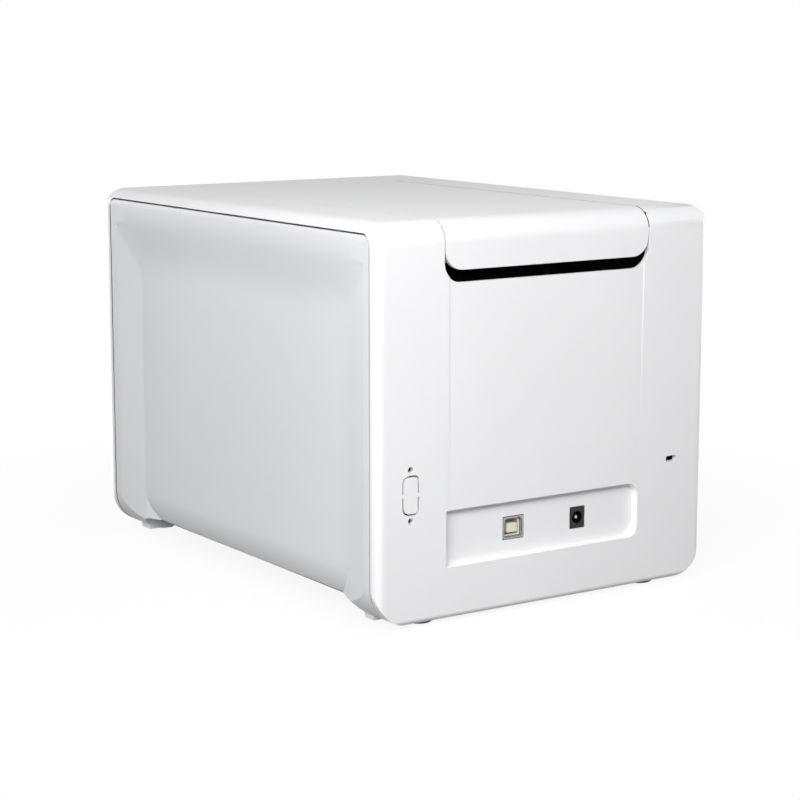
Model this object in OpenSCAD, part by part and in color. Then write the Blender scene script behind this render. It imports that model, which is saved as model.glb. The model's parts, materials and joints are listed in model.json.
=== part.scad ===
// Desktop card printer with a hinged top lid.
// Origin: centre of the footprint, on the ground. X is right, Y is to the rear, Z is up.

/* [Casing] */
// Width over the side panels
body_w = 205; // [196:1:230]
// Depth of the casing, front to rear
body_d = 278; // [270:1:320]
// Height of the casing without its feet
body_h = 195; // [190:1:215]
// Wall of the moulded casing
wall = 3; // [2.4:0.1:3.4]
// Radius of the two long top corners
top_r = 9.5; // [6:0.5:14]
// Radius of the two long bottom corners
bottom_r = 20; // [14:0.5:24]
// Radius of the edge between top and rear
rear_top_r = 11.5; // [9:0.5:13]
// Radius of the upright corners
upright_r = 5; // [3:0.5:6]
// How far the rubber feet stand out
foot_h = 2; // [1:0.5:4]
// How far the output tray stands out in front
tray_reach = 32; // [20:1:45]

/* [Side panels] */
// Depth of the dished field
panel_dish = 4.5; // [2:0.5:6]
// Width of the bevel round the field
bevel_run = 23; // [12:1:30]
// Thickness of the panel's skin
panel_t = 2; // [1.6:0.1:2.6]
// Gap between a panel and the casing
panel_gap = 0.9; // [0.5:0.1:1.5]
// Height of the arch under the panels
arch_h = 9; // [6:0.5:12]

/* [Lid] */
// Half of the lid's width
lid_hw = 62.6; // [60:0.1:63]
// Gap round the lid
lid_gap = 0.6; // [0.4:0.1:1]
// Length of the fixed top in front of the lid
fixed_top = 48; // [44:1:60]
// Thickness of the lid's skin
lid_t = 2.5; // [2:0.1:3]
// Height of the rear flap
flap_h = 24.4; // [22:0.2:26]
// Radius of the flap's lower corners
flap_r = 10; // [4:0.5:12]
// Height of the dark slot under the flap
slot_h = 6.1; // [5:0.1:9]
// Hinge pins, measured in from the rear
hinge_in = 10.5; // [10:0.5:11]
// Hinge pins, measured down from the top
hinge_down = 13; // [12.5:0.5:14]
// Radius of the hinge pins
hinge_pin_r = 3; // [2:0.5:4]

/* [Rear panel] */
// Half of the recessed strip's width
strip_hw = 61.7; // [50:0.1:62]
// Depth of the recessed strip
strip_in = 1; // [0.5:0.1:1.2]
// Depth of the connector pocket
pocket_in = 4; // [2:0.5:6]
// Distance between the two serial jackscrews
serial_pitch = 25; // [25:0.1:25]
// Radius of the jackscrew holes
jack_r = 1.6; // [1.5:0.1:1.8]

/* [Card path] */
// Width of a card
card_w = 54; // [54:0.1:54]
// Length of a card
card_l = 85.6; // [85.6:0.1:85.6]
// Height of the path above the ground
path_z = 112; // [110:0.5:116]
// Radius of the driven rollers
roller_r = 7; // [6.5:0.1:7.2]
// Radius of the roller shafts
shaft_r = 3; // [2.5:0.5:3]
// Radius of the free rollers above the path
pinch_r = 5; // [4:0.5:5.5]
// Running clearance in the bushes
run_gap = 0.05; // [0.02:0.01:0.1]
// Case screw's axis from the side plate's face, at least
screw_clear = 2; // [1.8:0.1:6]
// Gap at the seams of the left side plate
seam = 0.2; // [0.1:0.05:0.4]

/* [Gears] */
// Gear module
gear_m = 1; // [1:0.1:1]
// Pressure angle
pressure_angle = 20; // [18:1:25]
// Teeth on each roller gear
roller_teeth = 20; // [20:4:20]
// Teeth on each idler
idler_teeth = 16; // [16:4:20]
// Teeth on each motor pinion
pinion_teeth = 12; // [12:2:14]
// Teeth on the reduction gear
reduction_teeth = 40; // [36:4:44]
// Teeth on the pick roller's gear
pick_teeth = 32; // [28:4:36]
// Teeth on the take-up gear
takeup_teeth = 42; // [38:2:44]
// Width of the gear faces
gear_w = 6; // [4:0.5:8]

/* [Ribbon] */
// Radius of the full supply roll
supply_r = 19; // [14:0.5:20]
// Radius of the used roll
takeup_r = 13; // [10:0.5:14]
// Radius of the spool cores
core_r = 8; // [7:0.5:9]
// Height of the spool axes above the path
spool_up = 39; // [38:0.5:40]

/* [Hidden] */
$fn = 48;
hw = body_w / 2;
base_z = foot_h;
top_z = foot_h + body_h;
rear_y = (body_d + tray_reach) / 2;
front_y = rear_y - body_d;
lid_front = front_y + fixed_top;
hinge_y = rear_y - hinge_in;
hinge_z = top_z - hinge_down;
flap_z = top_z - flap_h;
slot_z = flap_z - slot_h;
open_hw = lid_hw + lid_gap;
plate_x = open_hw + 2.8;
plate_t = 2;
bed_z = path_z - 0.4;
roller_z = bed_z - roller_r;
roll_r = 15;
roll_x = hw - panel_dish - roll_r;
screw_x = max(roll_x - 7, plate_x + plate_t + screw_clear);
roll_z = base_z + 24;
gear_x = plate_x + plate_t + 3;
mesh_d = gear_m * (roller_teeth + idler_teeth) / 2;
platen_y = front_y + 143;
feed_y = platen_y - 2 * mesh_d;
back_y = platen_y + 2 * mesh_d;
red_z = roller_z - gear_m * (roller_teeth + reduction_teeth) / 2;
main_z = red_z - gear_m * (reduction_teeth + pinion_teeth) / 2;
pick_y = feed_y - 60;
gate_y = feed_y - 15;
gate_z = bed_z - 9;
hopper_y0 = front_y + 5.4;
hopper_y1 = feed_y - 15;
hopper_top = path_z + 22;
pick_z = roller_z - gear_m * (pick_teeth + pinion_teeth) / 2;
spool_z = path_z + spool_up;
take_y = platen_y - 50;
supply_y = platen_y + 46;
ribbon_d = gear_m * (takeup_teeth + pinion_teeth) / 2;
ribbon_a = 30;
ribbon_y = take_y - ribbon_d * cos(ribbon_a);
ribbon_z = spool_z - ribbon_d * sin(ribbon_a);
exit_z = 52;
pocket_z0 = 28;
pocket_z1 = 55.6;
serial_x = hw - 20;
serial_z = 66;
lock_x = 21.8 - hw;
lock_z = 66.1;
usb_x = 18.2;
dc_x = -22.2;
port_z = 41.5;
button_x = hw - 36.5;
button_z = top_z - 47;
light_z = button_z - 20;
foot_x = roll_x - 13;
board_z = base_z + arch_h + 23;
board_y = platen_y + 24;

// ---- drawing helpers ----

// A flat shape drawn in X and Z, pushed along Y from y0 to y1.
module along_y(y0, y1) {
    translate([0, y1, 0])
        rotate([90, 0, 0])
            linear_extrude(height = y1 - y0)
                children();
}

// A flat shape drawn in Y and Z, pushed along X from x0 to x1.
module along_x(x0, x1) {
    translate([x0, 0, 0])
        rotate([90, 0, 90])
            linear_extrude(height = x1 - x0)
                children();
}

// The same solid on both sides of the machine.
module both_sides() {
    children();
    mirror([1, 0, 0])
        children();
}

// What a round corner takes away, with the body towards +X +Y.
module corner_cut(r) {
    difference() {
        translate([-1, -1])
            square(r + 1);
        translate([r, r])
            circle(r);
    }
}

// Rectangle from corner to corner, r = [lower left, lower right, upper right, upper left].
module round_rect(x0, y0, x1, y1, r) {
    corners = [[x0, y0], [x1, y0], [x1, y1], [x0, y1]];
    difference() {
        translate([x0, y0])
            square([x1 - x0, y1 - y0]);
        for (i = [0:3])
            if (r[i] > 0)
                translate(corners[i])
                    rotate(90 * i)
                        corner_cut(r[i]);
    }
}

module box(a, b) {
    translate(a)
        cube([b[0] - a[0], b[1] - a[1], b[2] - a[2]]);
}

// Rod along X.
module rod(x0, x1, y, z, r) {
    translate([x0, y, z])
        rotate([0, 90, 0])
            cylinder(h = x1 - x0, r = r);
}

// Rod along Y.
module rod_y(y0, y1, x, z, r) {
    translate([x, y1, z])
        rotate([90, 0, 0])
            cylinder(h = y1 - y0, r = r);
}

// Rod along Z.
module rod_z(z0, z1, x, y, r) {
    translate([x, y, z0])
        cylinder(h = z1 - z0, r = r);
}

// ---- involute gears ----

function involute(rb, a) = [rb * (cos(a) + a * PI / 180 * sin(a)),
    rb * (sin(a) - a * PI / 180 * cos(a))];
function turned(p, a) = [p[0] * cos(a) - p[1] * sin(a), p[0] * sin(a) + p[1] * cos(a)];
function roll_angle(rb, r) = sqrt(max(0, r * r / (rb * rb) - 1)) * 180 / PI;
function flank(rb, r) = turned(involute(rb, roll_angle(rb, r)), 0);
function flank_angle(rb, r) = atan2(flank(rb, r)[1], flank(rb, r)[0]);

// Half of the tooth's angle at radius r, thinned by the backlash.
function half_tooth(teeth, r) = 90 / teeth - backlash_angle(teeth)
    + flank_angle(gear_m * teeth / 2 * cos(pressure_angle), gear_m * teeth / 2)
    - flank_angle(gear_m * teeth / 2 * cos(pressure_angle), r);
function backlash_angle(teeth) = 0.09 / (gear_m * teeth / 2) * 180 / PI;

// One tooth as points, centred on angle a: root, flank, tip, flank, root.
function tooth(teeth, a) =
    let (rp = gear_m * teeth / 2,
        rb = rp * cos(pressure_angle),
        root = rp - 1.25 * gear_m,
        tip = rp + 0.92 * gear_m,
        low = max(rb, root + 0.1),
        rs = [root, low, (low + rp) / 2, rp, (rp + tip) / 2, tip],
        up = [for (r = rs) turned([r, 0], a - half_tooth(teeth, max(r, low)))],
        down = [for (i = [len(rs) - 1:-1:0])
            turned([rs[i], 0], a + half_tooth(teeth, max(rs[i], low)))])
    concat(up, down);

module gear_2d(teeth, phase = 0) {
    polygon([for (i = [0:teeth - 1]) each tooth(teeth, phase + i * 360 / teeth)]);
}

// Spur gear on an axle along X, with its first tooth at the given angle from +Y to +Z.
module gear_on(x0, y, z, teeth, phase, bore, hub_r = 0, w = gear_w) {
    translate([0, y, z])
        difference() {
            union() {
                along_x(x0, x0 + w)
                    gear_2d(teeth, phase);
                if (hub_r > 0)
                    rod(x0 + w - 0.01, x0 + w + 3, 0, 0, hub_r);
            }
            rod(x0 - 1, x0 + w + 4, 0, 0, bore);
        }
}

// Light web: round windows between hub and rim.
module gear_windows(x0, y, z, r, hole_r, count) {
    for (i = [0:count - 1])
        translate([0, y, z])
            rotate([i * 360 / count + 180 / count, 0, 0])
                rod(x0 - 1, x0 + gear_w + 1, r, 0, hole_r);
}

// ---- casing ----

// Outline of the machine seen from the rear, drawn in X and Z.
module outline(inset) {
    rb = bottom_r - inset;
    rt = top_r - inset;
    round_rect(-hw + inset, base_z + inset, hw - inset, top_z - inset, [rb, rb, rt, rt]);
}

// Outline seen from the side, drawn in Y and Z.
module side_outline(inset) {
    round_rect(front_y + inset, base_z + inset, rear_y - inset, top_z - inset,
        [6, 3 + 0 * inset, rear_top_r - inset, 8 - inset]);
}

module outer_block() {
    intersection() {
        along_y(front_y, rear_y)
            outline(0);
        along_x(-hw, hw)
            side_outline(0);
        linear_extrude(height = top_z + 5)
            round_rect(-hw, front_y, hw, rear_y, [upright_r, upright_r, upright_r, upright_r]);
    }
}

module inner_block(inset) {
    intersection() {
        along_y(front_y + inset, rear_y - inset)
            outline(inset);
        along_x(-hw, hw)
            side_outline(inset);
    }
}

// Window in the casing that a side panel closes, drawn in Y and Z.
module panel_window(grow) {
    y0 = front_y + 4 - grow;
    y1 = rear_y - 5 + grow;
    z1 = top_z - 5.4 + grow;
    round_rect(y0, -5, y1, z1, [0, 0, 7, 4]);
}

// Everything the lid covers, a little larger than the lid.
module lid_space(grow) {
    x = lid_hw + grow;
    union() {
        box([-x, lid_front - grow, top_z - 8], [x, rear_y + 1, top_z + 1]);
        along_y(rear_y - wall - 3, rear_y + 1)
            round_rect(-x, flap_z - (grow > 0 ? slot_h : 0), x, top_z + 1, [flap_r, flap_r, 0, 0]);
    }
}

// The serial knockout: two C-shaped slits, held by a bridge in each upright side.
module serial_slits() {
    difference() {
        translate([serial_x, serial_z])
            round_rect(-4.9, -9.8, 4.9, 9.8, [2.5, 4, 4, 2.5]);
        translate([serial_x, serial_z])
            round_rect(-4, -8.9, 4, 8.9, [1.6, 3.1, 3.1, 1.6]);
        translate([serial_x - 6, serial_z - 0.9])
            square([12, 1.8]);
    }
}

module lock_hole() {
    round_rect(lock_x - 3.5, lock_z - 1.5, lock_x + 3.5, lock_z + 1.5, [1, 1, 1, 1]);
}

module casing() {
    color("white")
        difference() {
            union() {
                difference() {
                    outer_block();
                    inner_block(wall);
                }
                // ledge under the lid's long seams
                both_sides()
                    box([open_hw, lid_front, top_z - 9], [open_hw + 2, rear_y - wall, top_z - wall + 0.5]);
                // thicker wall behind the connector pocket
                box([-63, rear_y - pocket_in - wall, pocket_z0 - 4],
                    [64, rear_y - wall + 0.5, pocket_z1 + 4]);
                // boss behind the serial knockout's screws
                for (z = [serial_z - 13.6, serial_z + 13.6])
                    box([serial_x - 6, rear_y - wall - 3, z - 3.4],
                        [serial_x + 6, rear_y - wall + 0.5, z + 3.4]);
            }
            both_sides()
                along_x(hw - wall - 6, hw + 1)
                    panel_window(0);
            // arch under the middle of the machine
            box([-hw - 1, front_y + 28, -1], [hw + 1, rear_y - 24, base_z + arch_h]);
            lid_space(lid_gap);
            // recessed strip down the rear
            box([-strip_hw, rear_y - strip_in, pocket_z0 + 1], [strip_hw, rear_y + 1, slot_z + 6]);
            // connector pocket
            along_y(rear_y - pocket_in, rear_y + 1)
                round_rect(-58.5, pocket_z0, 62, pocket_z1, [6, 1, 1, 6]);
            // USB and DC openings
            box([usb_x - 6.6, rear_y - 20, port_z - 5.9], [usb_x + 6.6, rear_y, port_z + 6.1]);
            box([dc_x - 4.9, rear_y - 20, port_z - 5.7], [dc_x + 4.9, rear_y, port_z + 5.7]);
            // lock slot
            along_y(rear_y - 8, rear_y + 1)
                lock_hole();
            along_y(rear_y - 8, rear_y + 1)
                serial_slits();
            for (s = [-1, 1])
                rod_y(rear_y - 12, rear_y + 1, serial_x, serial_z + s * serial_pitch / 2, jack_r);
            // open front, closed by the fascia
            along_y(front_y - 1, front_y + 9)
                round_rect(-hw + 9, base_z + 9, hw - 9, top_z - 9, [12, 12, 4, 4]);
            // open underside, closed by the base pan
            box([-hw + 24, front_y + 20, -1], [hw - 24, rear_y - 20, base_z + wall + 1]);
        }
}

// One dished side skin on the +X side.
module side_skin() {
    y0 = front_y + 4 + panel_gap;
    y1 = rear_y - 5 - panel_gap;
    z1 = top_z - 5.4 - panel_gap;
    x0 = hw - panel_dish - panel_t;
    difference() {
        union() {
            intersection() {
                along_y(y0, y1)
                    difference() {
                        outline(0);
                        outline(panel_dish + panel_t);
                    }
                along_x(hw - wall - 5.7, hw)
                    round_rect(y0, base_z + 5, y1, z1, [0, 0, 6.4, 3.4]);
            }
            // lower edge, rolled in under the machine
            along_y(front_y + 27, rear_y - 23)
                difference() {
                    translate([roll_x, roll_z])
                        circle(roll_r);
                    translate([roll_x, roll_z])
                        circle(roll_r - panel_t);
                    translate([roll_x - 2 * roll_r, -roll_r])
                        square([2 * roll_r + 0.6, 6 * roll_r]);
                    translate([roll_x, roll_z + 0.5])
                        square(2 * roll_r);
                }
        }
        dish();
    }
}

// The hollow of the dish: open at the bottom, with bevels that meet in mitres.
module dish() {
    y0 = front_y + 10;
    y1 = rear_y - 9.5;
    z1 = top_z - 11;
    x0 = hw - panel_dish;
    x1 = hw + 0.02;
    b = bevel_run;
    x2 = roll_x;
    intersection() {
        linear_extrude(height = top_z)
            polygon([[x1, y0], [x1, y1], [x0, y1 - b], [x2, y1 - b - 6], [x2, y0 + b + 6], [x0, y0 + b]]);
        along_y(y0, y1)
            difference() {
                polygon([[x1, -5], [x1, z1], [x0, z1 - b], [x0, roll_z], [x2, roll_z], [x2, -5]]);
                translate([roll_x, roll_z])
                    circle(roll_r);
            }
    }
}

module right_panel() {
    color("lightgray")
        side_skin();
}

module left_panel() {
    color("lightgray")
        mirror([1, 0, 0])
            side_skin();
}

// ---- underside and front ----

module base_pan() {
    color("dimgray")
        difference() {
            union() {
                box([-roll_x + 0.3, front_y + 6, base_z + arch_h + 0.3],
                    [roll_x - 0.3, rear_y - 6, base_z + arch_h + 2.8]);
                both_sides()
                    box([plate_x - 6, front_y + 9, base_z + arch_h + 2.5],
                        [plate_x - 0.2, rear_y - 8, base_z + arch_h + 10]);
            }
            for (x = [-screw_x, screw_x])
                for (y = [front_y + 43, rear_y - 39])
                    rod_z(base_z, base_z + arch_h + 4, x, y, 1.7);
            // vent slots
            for (i = [-4:4])
                box([i * 10 - 2, rear_y - 135, base_z], [i * 10 + 2, rear_y - 75, base_z + arch_h + 4]);
        }
}

module rubber_feet() {
    color("black")
        for (x = [-foot_x, foot_x])
            for (y = [front_y + 12, rear_y - 12])
                translate([x, y, 0])
                    rotate_extrude()
                        round_rect(0, 0, 7, base_z, [0, 0.8, 0, 0]);
}

module front_fascia() {
    door_z = path_z + 6.2;
    door_y = front_y + 3.2;
    color("gainsboro") {
        both_sides() {
            box([38.1, front_y + 1, door_z - 3], [40.5, front_y + 6, door_z + 3]);
            rod(31, 38.3, door_y, door_z, 0.9);
        }
        // posts for the front board
        for (x = [button_x - 16, button_x + 16])
            for (z = [button_z - 28, button_z + 18])
                rod_y(front_y + 3.5, front_y + 11.6, x, z, 3);
        difference() {
            along_y(front_y + 0.6, front_y + 3.6)
                round_rect(-hw + 9.4, base_z + 9.4, hw - 9.4, top_z - 9.4, [11.6, 11.6, 3.6, 3.6]);
            // feeder door, output mouth, button, light window
            box([-38, front_y - 1, door_z - 3.6], [38, front_y + 8, path_z + 32]);
            box([-33, front_y - 1, exit_z - 18], [33, front_y + 8, exit_z + 22]);
            rod_y(front_y - 1, front_y + 8, button_x, button_z, 8.4);
            box([button_x - 7, front_y - 1, light_z - 2.2], [button_x + 7, front_y + 8, light_z + 2.2]);
        }
    }
}

module output_tray() {
    z0 = exit_z - 17.6;
    color("dimgray")
        difference() {
            along_y(front_y - tray_reach, front_y + 26)
                round_rect(-32.6, z0, 32.6, z0 + 16, [4, 4, 1, 1]);
            along_y(front_y - tray_reach + 2.5, front_y + 27)
                round_rect(-30, z0 + 2.6, 30, z0 + 20, [2, 2, 0, 0]);
            // finger notch in the front lip
            along_y(front_y - tray_reach - 1, front_y - tray_reach + 12)
                round_rect(-13, z0 - 1, 13, z0 + 20, [0, 0, 0, 0]);
        }
    // ears and pin for the stop
    color("dimgray")
        both_sides()
            union() {
                box([9.4, front_y - tray_reach + 14, z0 + 2.5], [12, front_y - tray_reach + 18, z0 + 6.4]);
                rod(0, 9.5, front_y - tray_reach + 16, z0 + 4.6, 0.75);
            }
}

// Flip-up stop at the side of the tray's mouth.
module tray_stop() {
    z0 = exit_z - 17.6;
    y0 = front_y - tray_reach + 13;
    color("gray")
        difference() {
            union() {
                rod(-9, 9, y0 + 3, z0 + 4.6, 1.6);
                box([-9, y0 + 3, z0 + 3.2], [9, y0 + 20, z0 + 5]);
                box([-9, y0 + 18.2, z0 + 3.2], [9, y0 + 20, z0 + 7]);
            }
            rod(-10, 10, y0 + 3, z0 + 4.6, 0.8);
        }
}

module feeder_door() {
    z0 = path_z + 4.4;
    z1 = path_z + 31.6;
    color("gainsboro")
        difference() {
            union() {
                along_y(front_y + 0.6, front_y + 3)
                    round_rect(-37.6, z0, 37.6, z1, [1, 1, 1, 1]);
                // hinge barrels on the inside
                both_sides()
                    rod(30, 37.4, front_y + 3.2, z0 + 1.8, 1.9);
                // finger lip
                box([-12, front_y - 2, z1 - 5], [12, front_y + 1, z1 - 3]);
            }
            both_sides()
                rod(29, 39, front_y + 3.2, z0 + 1.8, 0.9 + run_gap);
        }
}

module control_button() {
    color("silver") {
        rod_y(front_y - 0.4, front_y + 6, button_x, button_z, 8);
        rod_y(front_y + 5.9, front_y + 9.2, button_x, button_z, 3);
    }
}

module light_pipe() {
    color("azure")
        union() {
            box([button_x - 6.7, front_y + 0.2, light_z - 1.9],
                [button_x + 6.7, front_y + 3.6, light_z + 1.9]);
            box([button_x - 8.5, front_y + 3.6, light_z - 4],
                [button_x + 8.5, front_y + 5.2, light_z + 4]);
            for (x = [-4.5, 0, 4.5])
                rod_y(front_y + 5.1, front_y + 10.4, button_x + x, light_z, 1.5);
        }
}

module front_board() {
    color("seagreen")
        union() {
            difference() {
                box([button_x - 20, front_y + 11.6, button_z - 32],
                    [button_x + 20, front_y + 13.2, button_z + 22]);
                for (x = [button_x - 16, button_x + 16])
                    for (z = [button_z - 28, button_z + 18])
                        rod_y(front_y, front_y + 20, x, z, 1.6);
            }
            box([button_x - 3, front_y + 10.6, button_z - 3], [button_x + 3, front_y + 11.8, button_z + 3]);
            for (x = [button_x - 4.5, button_x, button_x + 4.5])
                box([x - 1, front_y + 10.8, light_z - 1], [x + 1, front_y + 11.8, light_z + 1]);
            box([button_x - 12, front_y + 13, button_z], [button_x + 4, front_y + 15.4, button_z + 10]);
        }
}

// ---- chassis ----

// Driven shafts as [y, z].
function driven() = [[feed_y, roller_z], [platen_y, roller_z], [back_y, roller_z], [pick_y, roller_z]];
function free_z() = path_z + 0.4 + pinch_r;
function tie_points() = [[platen_y + mesh_d, 94], [back_y + 36, 94], [front_y + 16, 96],
    [front_y + 24, 28], [rear_y - 22, 28], [rear_y - 30, 150]];

module plate_outline() {
    difference() {
        union() {
            round_rect(front_y + 9, base_z + 12, rear_y - 6, top_z - 25, [6, 6, 4, 10]);
            round_rect(hinge_y - 14, top_z - 50, hinge_y + 6.5, hinge_z + 7, [0, 0, 6.5, 7]);
        }
        // room for the front board
        translate([front_y, path_z + 4])
            square([18, top_z]);
        for (p = driven())
            translate(p)
                circle(shaft_r + 2.2);
        for (y = [feed_y, back_y])
            translate([y, free_z()])
                circle(3.6);
        // slots that the spool shafts drop into
        for (y = [take_y, supply_y])
            union() {
                translate([y, spool_z])
                    circle(4.1);
                translate([y - 4.1, spool_z])
                    square([8.2, top_z]);
            }
        for (p = tie_points())
            translate(p)
                circle(1.6);
        translate([gate_y, gate_z])
            circle(1.6 + run_gap);
        translate([hinge_y, hinge_z])
            circle(hinge_pin_r);
        // weight windows
        round_rect(feed_y - 30, 30, feed_y + 14, 72, [2, 2, 2, 2]);
        round_rect(back_y + 14, 34, rear_y - 24, 80, [2, 2, 2, 2]);
    }
}

module motor_holes(y, z, r = 18.4) {
    translate([y, z])
        circle(11.2);
    for (a = [45:90:315])
        translate([y + r * cos(a), z + r * sin(a)])
            circle(1.6);
}

module chassis_right() {
    color("slategray")
        union() {
            along_x(plate_x, plate_x + plate_t)
                difference() {
                    plate_outline();
                    motor_holes(platen_y, main_z);
                    motor_holes(pick_y, pick_z, 16);
                }
            // idler and reduction posts
            for (p = [[platen_y - mesh_d, roller_z], [platen_y + mesh_d, roller_z], [platen_y, red_z]]) {
                rod(plate_x + plate_t - 0.1, gear_x - 0.2, p[0], p[1], 4.5);
                rod(gear_x - 0.3, gear_x + gear_w + 4.5, p[0], p[1], 2.5);
            }
        }
}

module chassis_left() {
    color("slategray")
        mirror([1, 0, 0])
            along_x(plate_x, plate_x + plate_t)
                difference() {
                    plate_outline();
                    motor_holes(ribbon_y, ribbon_z);
                    // seams: spool sheet above, front and rear sheets below
                    translate([front_y, path_z])
                        square([rear_y - front_y + 10, seam]);
                    translate([platen_y + 10, 0])
                        square([seam, path_z + seam / 2]);
                }
}

module tie_bars() {
    color("silver")
        for (p = tie_points())
            union() {
                rod(-plate_x, plate_x, p[0], p[1], 4);
                rod(-plate_x - plate_t - 2.4, plate_x + plate_t + 2.4, p[0], p[1], 1.6);
                both_sides()
                    rod(plate_x + plate_t, plate_x + plate_t + 2.4, p[0], p[1], 3.4);
            }
}

// Flanged bush through a plate on the +X side.
module bush(y, z, outer, inner) {
    difference() {
        union() {
            rod(plate_x - 1.5, plate_x + plate_t + 0.6, y, z, outer);
            rod(plate_x - 1.5, plate_x, y, z, outer + 1.2);
        }
        rod(plate_x - 3, plate_x + plate_t + 2, y, z, inner + run_gap);
    }
}

module bushes() {
    color("goldenrod")
        both_sides() {
            for (p = driven())
                bush(p[0], p[1], shaft_r + 2.2, shaft_r);
            for (y = [feed_y, back_y])
                bush(y, free_z(), 3.6, 2);
        }
}

module hinge_pins() {
    color("silver")
        both_sides() {
            rod(57, plate_x + plate_t, hinge_y, hinge_z, hinge_pin_r - 0.02);
            rod(plate_x + plate_t, plate_x + plate_t + 1.6, hinge_y, hinge_z, hinge_pin_r + 2);
        }
}

module case_screws() {
    color("silver")
        for (x = [-screw_x, screw_x])
            for (y = [front_y + 43, rear_y - 39])
                difference() {
                    union() {
                        rod_z(base_z + arch_h - 1.6, base_z + arch_h + 0.3, x, y, 3.4);
                        rod_z(base_z + arch_h + 0.2, base_z + arch_h + 11, x, y, 1.6);
                    }
                    translate([x, y, base_z + arch_h - 2])
                        cylinder(h = 1.4, r = 1.6, $fn = 6);
                }
}

// ---- card path ----

module card_guide() {
    y0 = feed_y - 8;
    y1 = back_y + 66;
    color("gray")
        difference() {
            union() {
                box([-34, y0, bed_z - 3], [34, y1, bed_z]);
                // legs on the tie bars
                both_sides()
                    for (p = [tie_points()[0], tie_points()[1]])
                        box([29, p[0] - 6, p[1] - 6], [33, p[0] + 6, bed_z - 2.9]);
            }
            for (y = [feed_y, platen_y, back_y])
                box([-26.8, y - roller_r - 1.2, bed_z - 5], [26.8, y + roller_r + 1.2, bed_z + 1]);
            for (p = [tie_points()[0], tie_points()[1]])
                rod(-40, 40, p[0], p[1], 4.1);
            // lightening slots behind the last roller
            for (i = [0:2])
                box([-20 + i * 15, back_y + 16, bed_z - 5], [-10 + i * 15, back_y + 56, bed_z + 1]);
        }
}

// Side rails and end stop on the bed, left open beside the print head.
module edge_guides() {
    y0 = feed_y - 8;
    y1 = back_y + 66;
    color("dimgray") {
        both_sides() {
            box([card_w / 2 + 0.4, y0, bed_z], [34, platen_y - 16, bed_z + 3.4]);
            box([card_w / 2 + 0.4, platen_y + 18, bed_z], [34, y1, bed_z + 3.4]);
        }
        box([-card_w / 2, y1 - 3, bed_z], [card_w / 2, y1, bed_z + 8]);
    }
}

module hopper() {
    y0 = hopper_y0;
    y1 = hopper_y1;
    z1 = hopper_top;
    color("dimgray")
        difference() {
            union() {
                box([-30.4, y0, bed_z - 3.4], [30.4, y1, bed_z - 0.4]);
                both_sides()
                    box([card_w / 2 + 0.8, y0, bed_z - 0.5], [30.4, y1, z1]);
                // rear wall with the gate slot
                box([-30.4, y1 - 2.4, path_z + 1.4], [30.4, y1, z1]);
                // foot on the front tie bar
                both_sides()
                    box([26, y0 + 4, 90], [30, y0 + 18, bed_z - 3]);
            }
            // pick roller window
            box([-13, pick_y - roller_r - 1.5, bed_z - 5], [13, pick_y + roller_r + 1.5, bed_z + 1]);
            rod(-40, 40, tie_points()[2][0], tie_points()[2][1], 4.1);
            // slots for the pusher's lugs
            both_sides()
                box([26, pick_y - 4, path_z + 0.5], [32, pick_y + 4, z1 - 2]);
            // gauge track in the rear wall
            box([-6.2, y1 - 3, path_z], [6.2, y1 + 1, path_z + 14]);
        }
}

// Weighted plate on top of the cards.
module card_pusher() {
    color("silver")
        union() {
            box([-26, hopper_y0 + 4, path_z + 0.3], [26, hopper_y1 - 4, path_z + 4.3]);
            box([-33.4, pick_y - 3.4, path_z + 0.8], [33.4, pick_y + 3.4, path_z + 3.8]);
            rod_z(path_z + 4.2, path_z + 10, 0, pick_y, 8);
        }
}

// Lever that sets how thick a card may pass.
module gauge_lever() {
    y1 = hopper_y1;
    color("orange")
        union() {
            box([-5.8, y1 - 2.1, path_z + 1.4], [5.8, y1 - 0.3, path_z + 10]);
            box([-3, y1 - 0.5, path_z + 7], [3, y1 + 5, path_z + 9]);
        }
}

// Flap that turns printed cards down to the tray.
module divert_gate() {
    y = gate_y;
    z = gate_z;
    color("goldenrod")
        union() {
            rod(-plate_x - plate_t - 1, plate_x + plate_t + 1, y, z, 1.6);
            difference() {
                rod(-24, 24, y, z, 3);
                rod(-10, 10, y, z, 4);
            }
            for (x = [-22, -12, 10, 20])
                translate([x, y, z])
                    rotate([35, 0, 0])
                        cube([2, 7, 2.4]);
        }
}

module exit_chute() {
    slope = [[gate_y, bed_z - 16], [front_y + 16, exit_z - 4], [front_y + 6, exit_z - 4],
        [front_y + 6, exit_z - 6.4], [front_y + 17, exit_z - 6.4], [gate_y + 2, bed_z - 18.4]];
    color("gray")
        union() {
            along_x(-28, 28)
                polygon(slope);
            both_sides()
                along_x(28, 29.6)
                    polygon([[gate_y + 2, bed_z - 18.4], [gate_y + 2, bed_z - 11.2],
                        [front_y + 18, exit_z + 6], [front_y + 6, exit_z + 6],
                        [front_y + 6, exit_z - 6.4], [front_y + 17, exit_z - 6.4]]);
        }
}

// ---- rollers and gears ----

// Rubber-covered roller on a steel shaft that sticks out to x1 on the right.
module roller(y, z, r, half_len, sr, x0, x1) {
    union() {
        rod(-half_len, half_len, y, z, r);
        rod(x0, x1, y, z, sr);
    }
}

p_platen = 0;
function mate(p1, n1, n2, a) = a + 180 - 360 / n2 * (0.5 - (a - p1) * n1 / 360);
p_front = mate(p_platen, roller_teeth, idler_teeth, 180);
p_rear = mate(p_platen, roller_teeth, idler_teeth, 0);
p_feed = mate(p_front, idler_teeth, roller_teeth, 180);
p_back = mate(p_rear, idler_teeth, roller_teeth, 0);
p_red = mate(p_platen, roller_teeth, reduction_teeth, -90);
p_main = mate(p_red, reduction_teeth, pinion_teeth, -90);
p_pick = mate(0, pick_teeth, pinion_teeth, -90);
p_ribbon = mate(0, takeup_teeth, pinion_teeth, 180 + ribbon_a);

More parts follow.
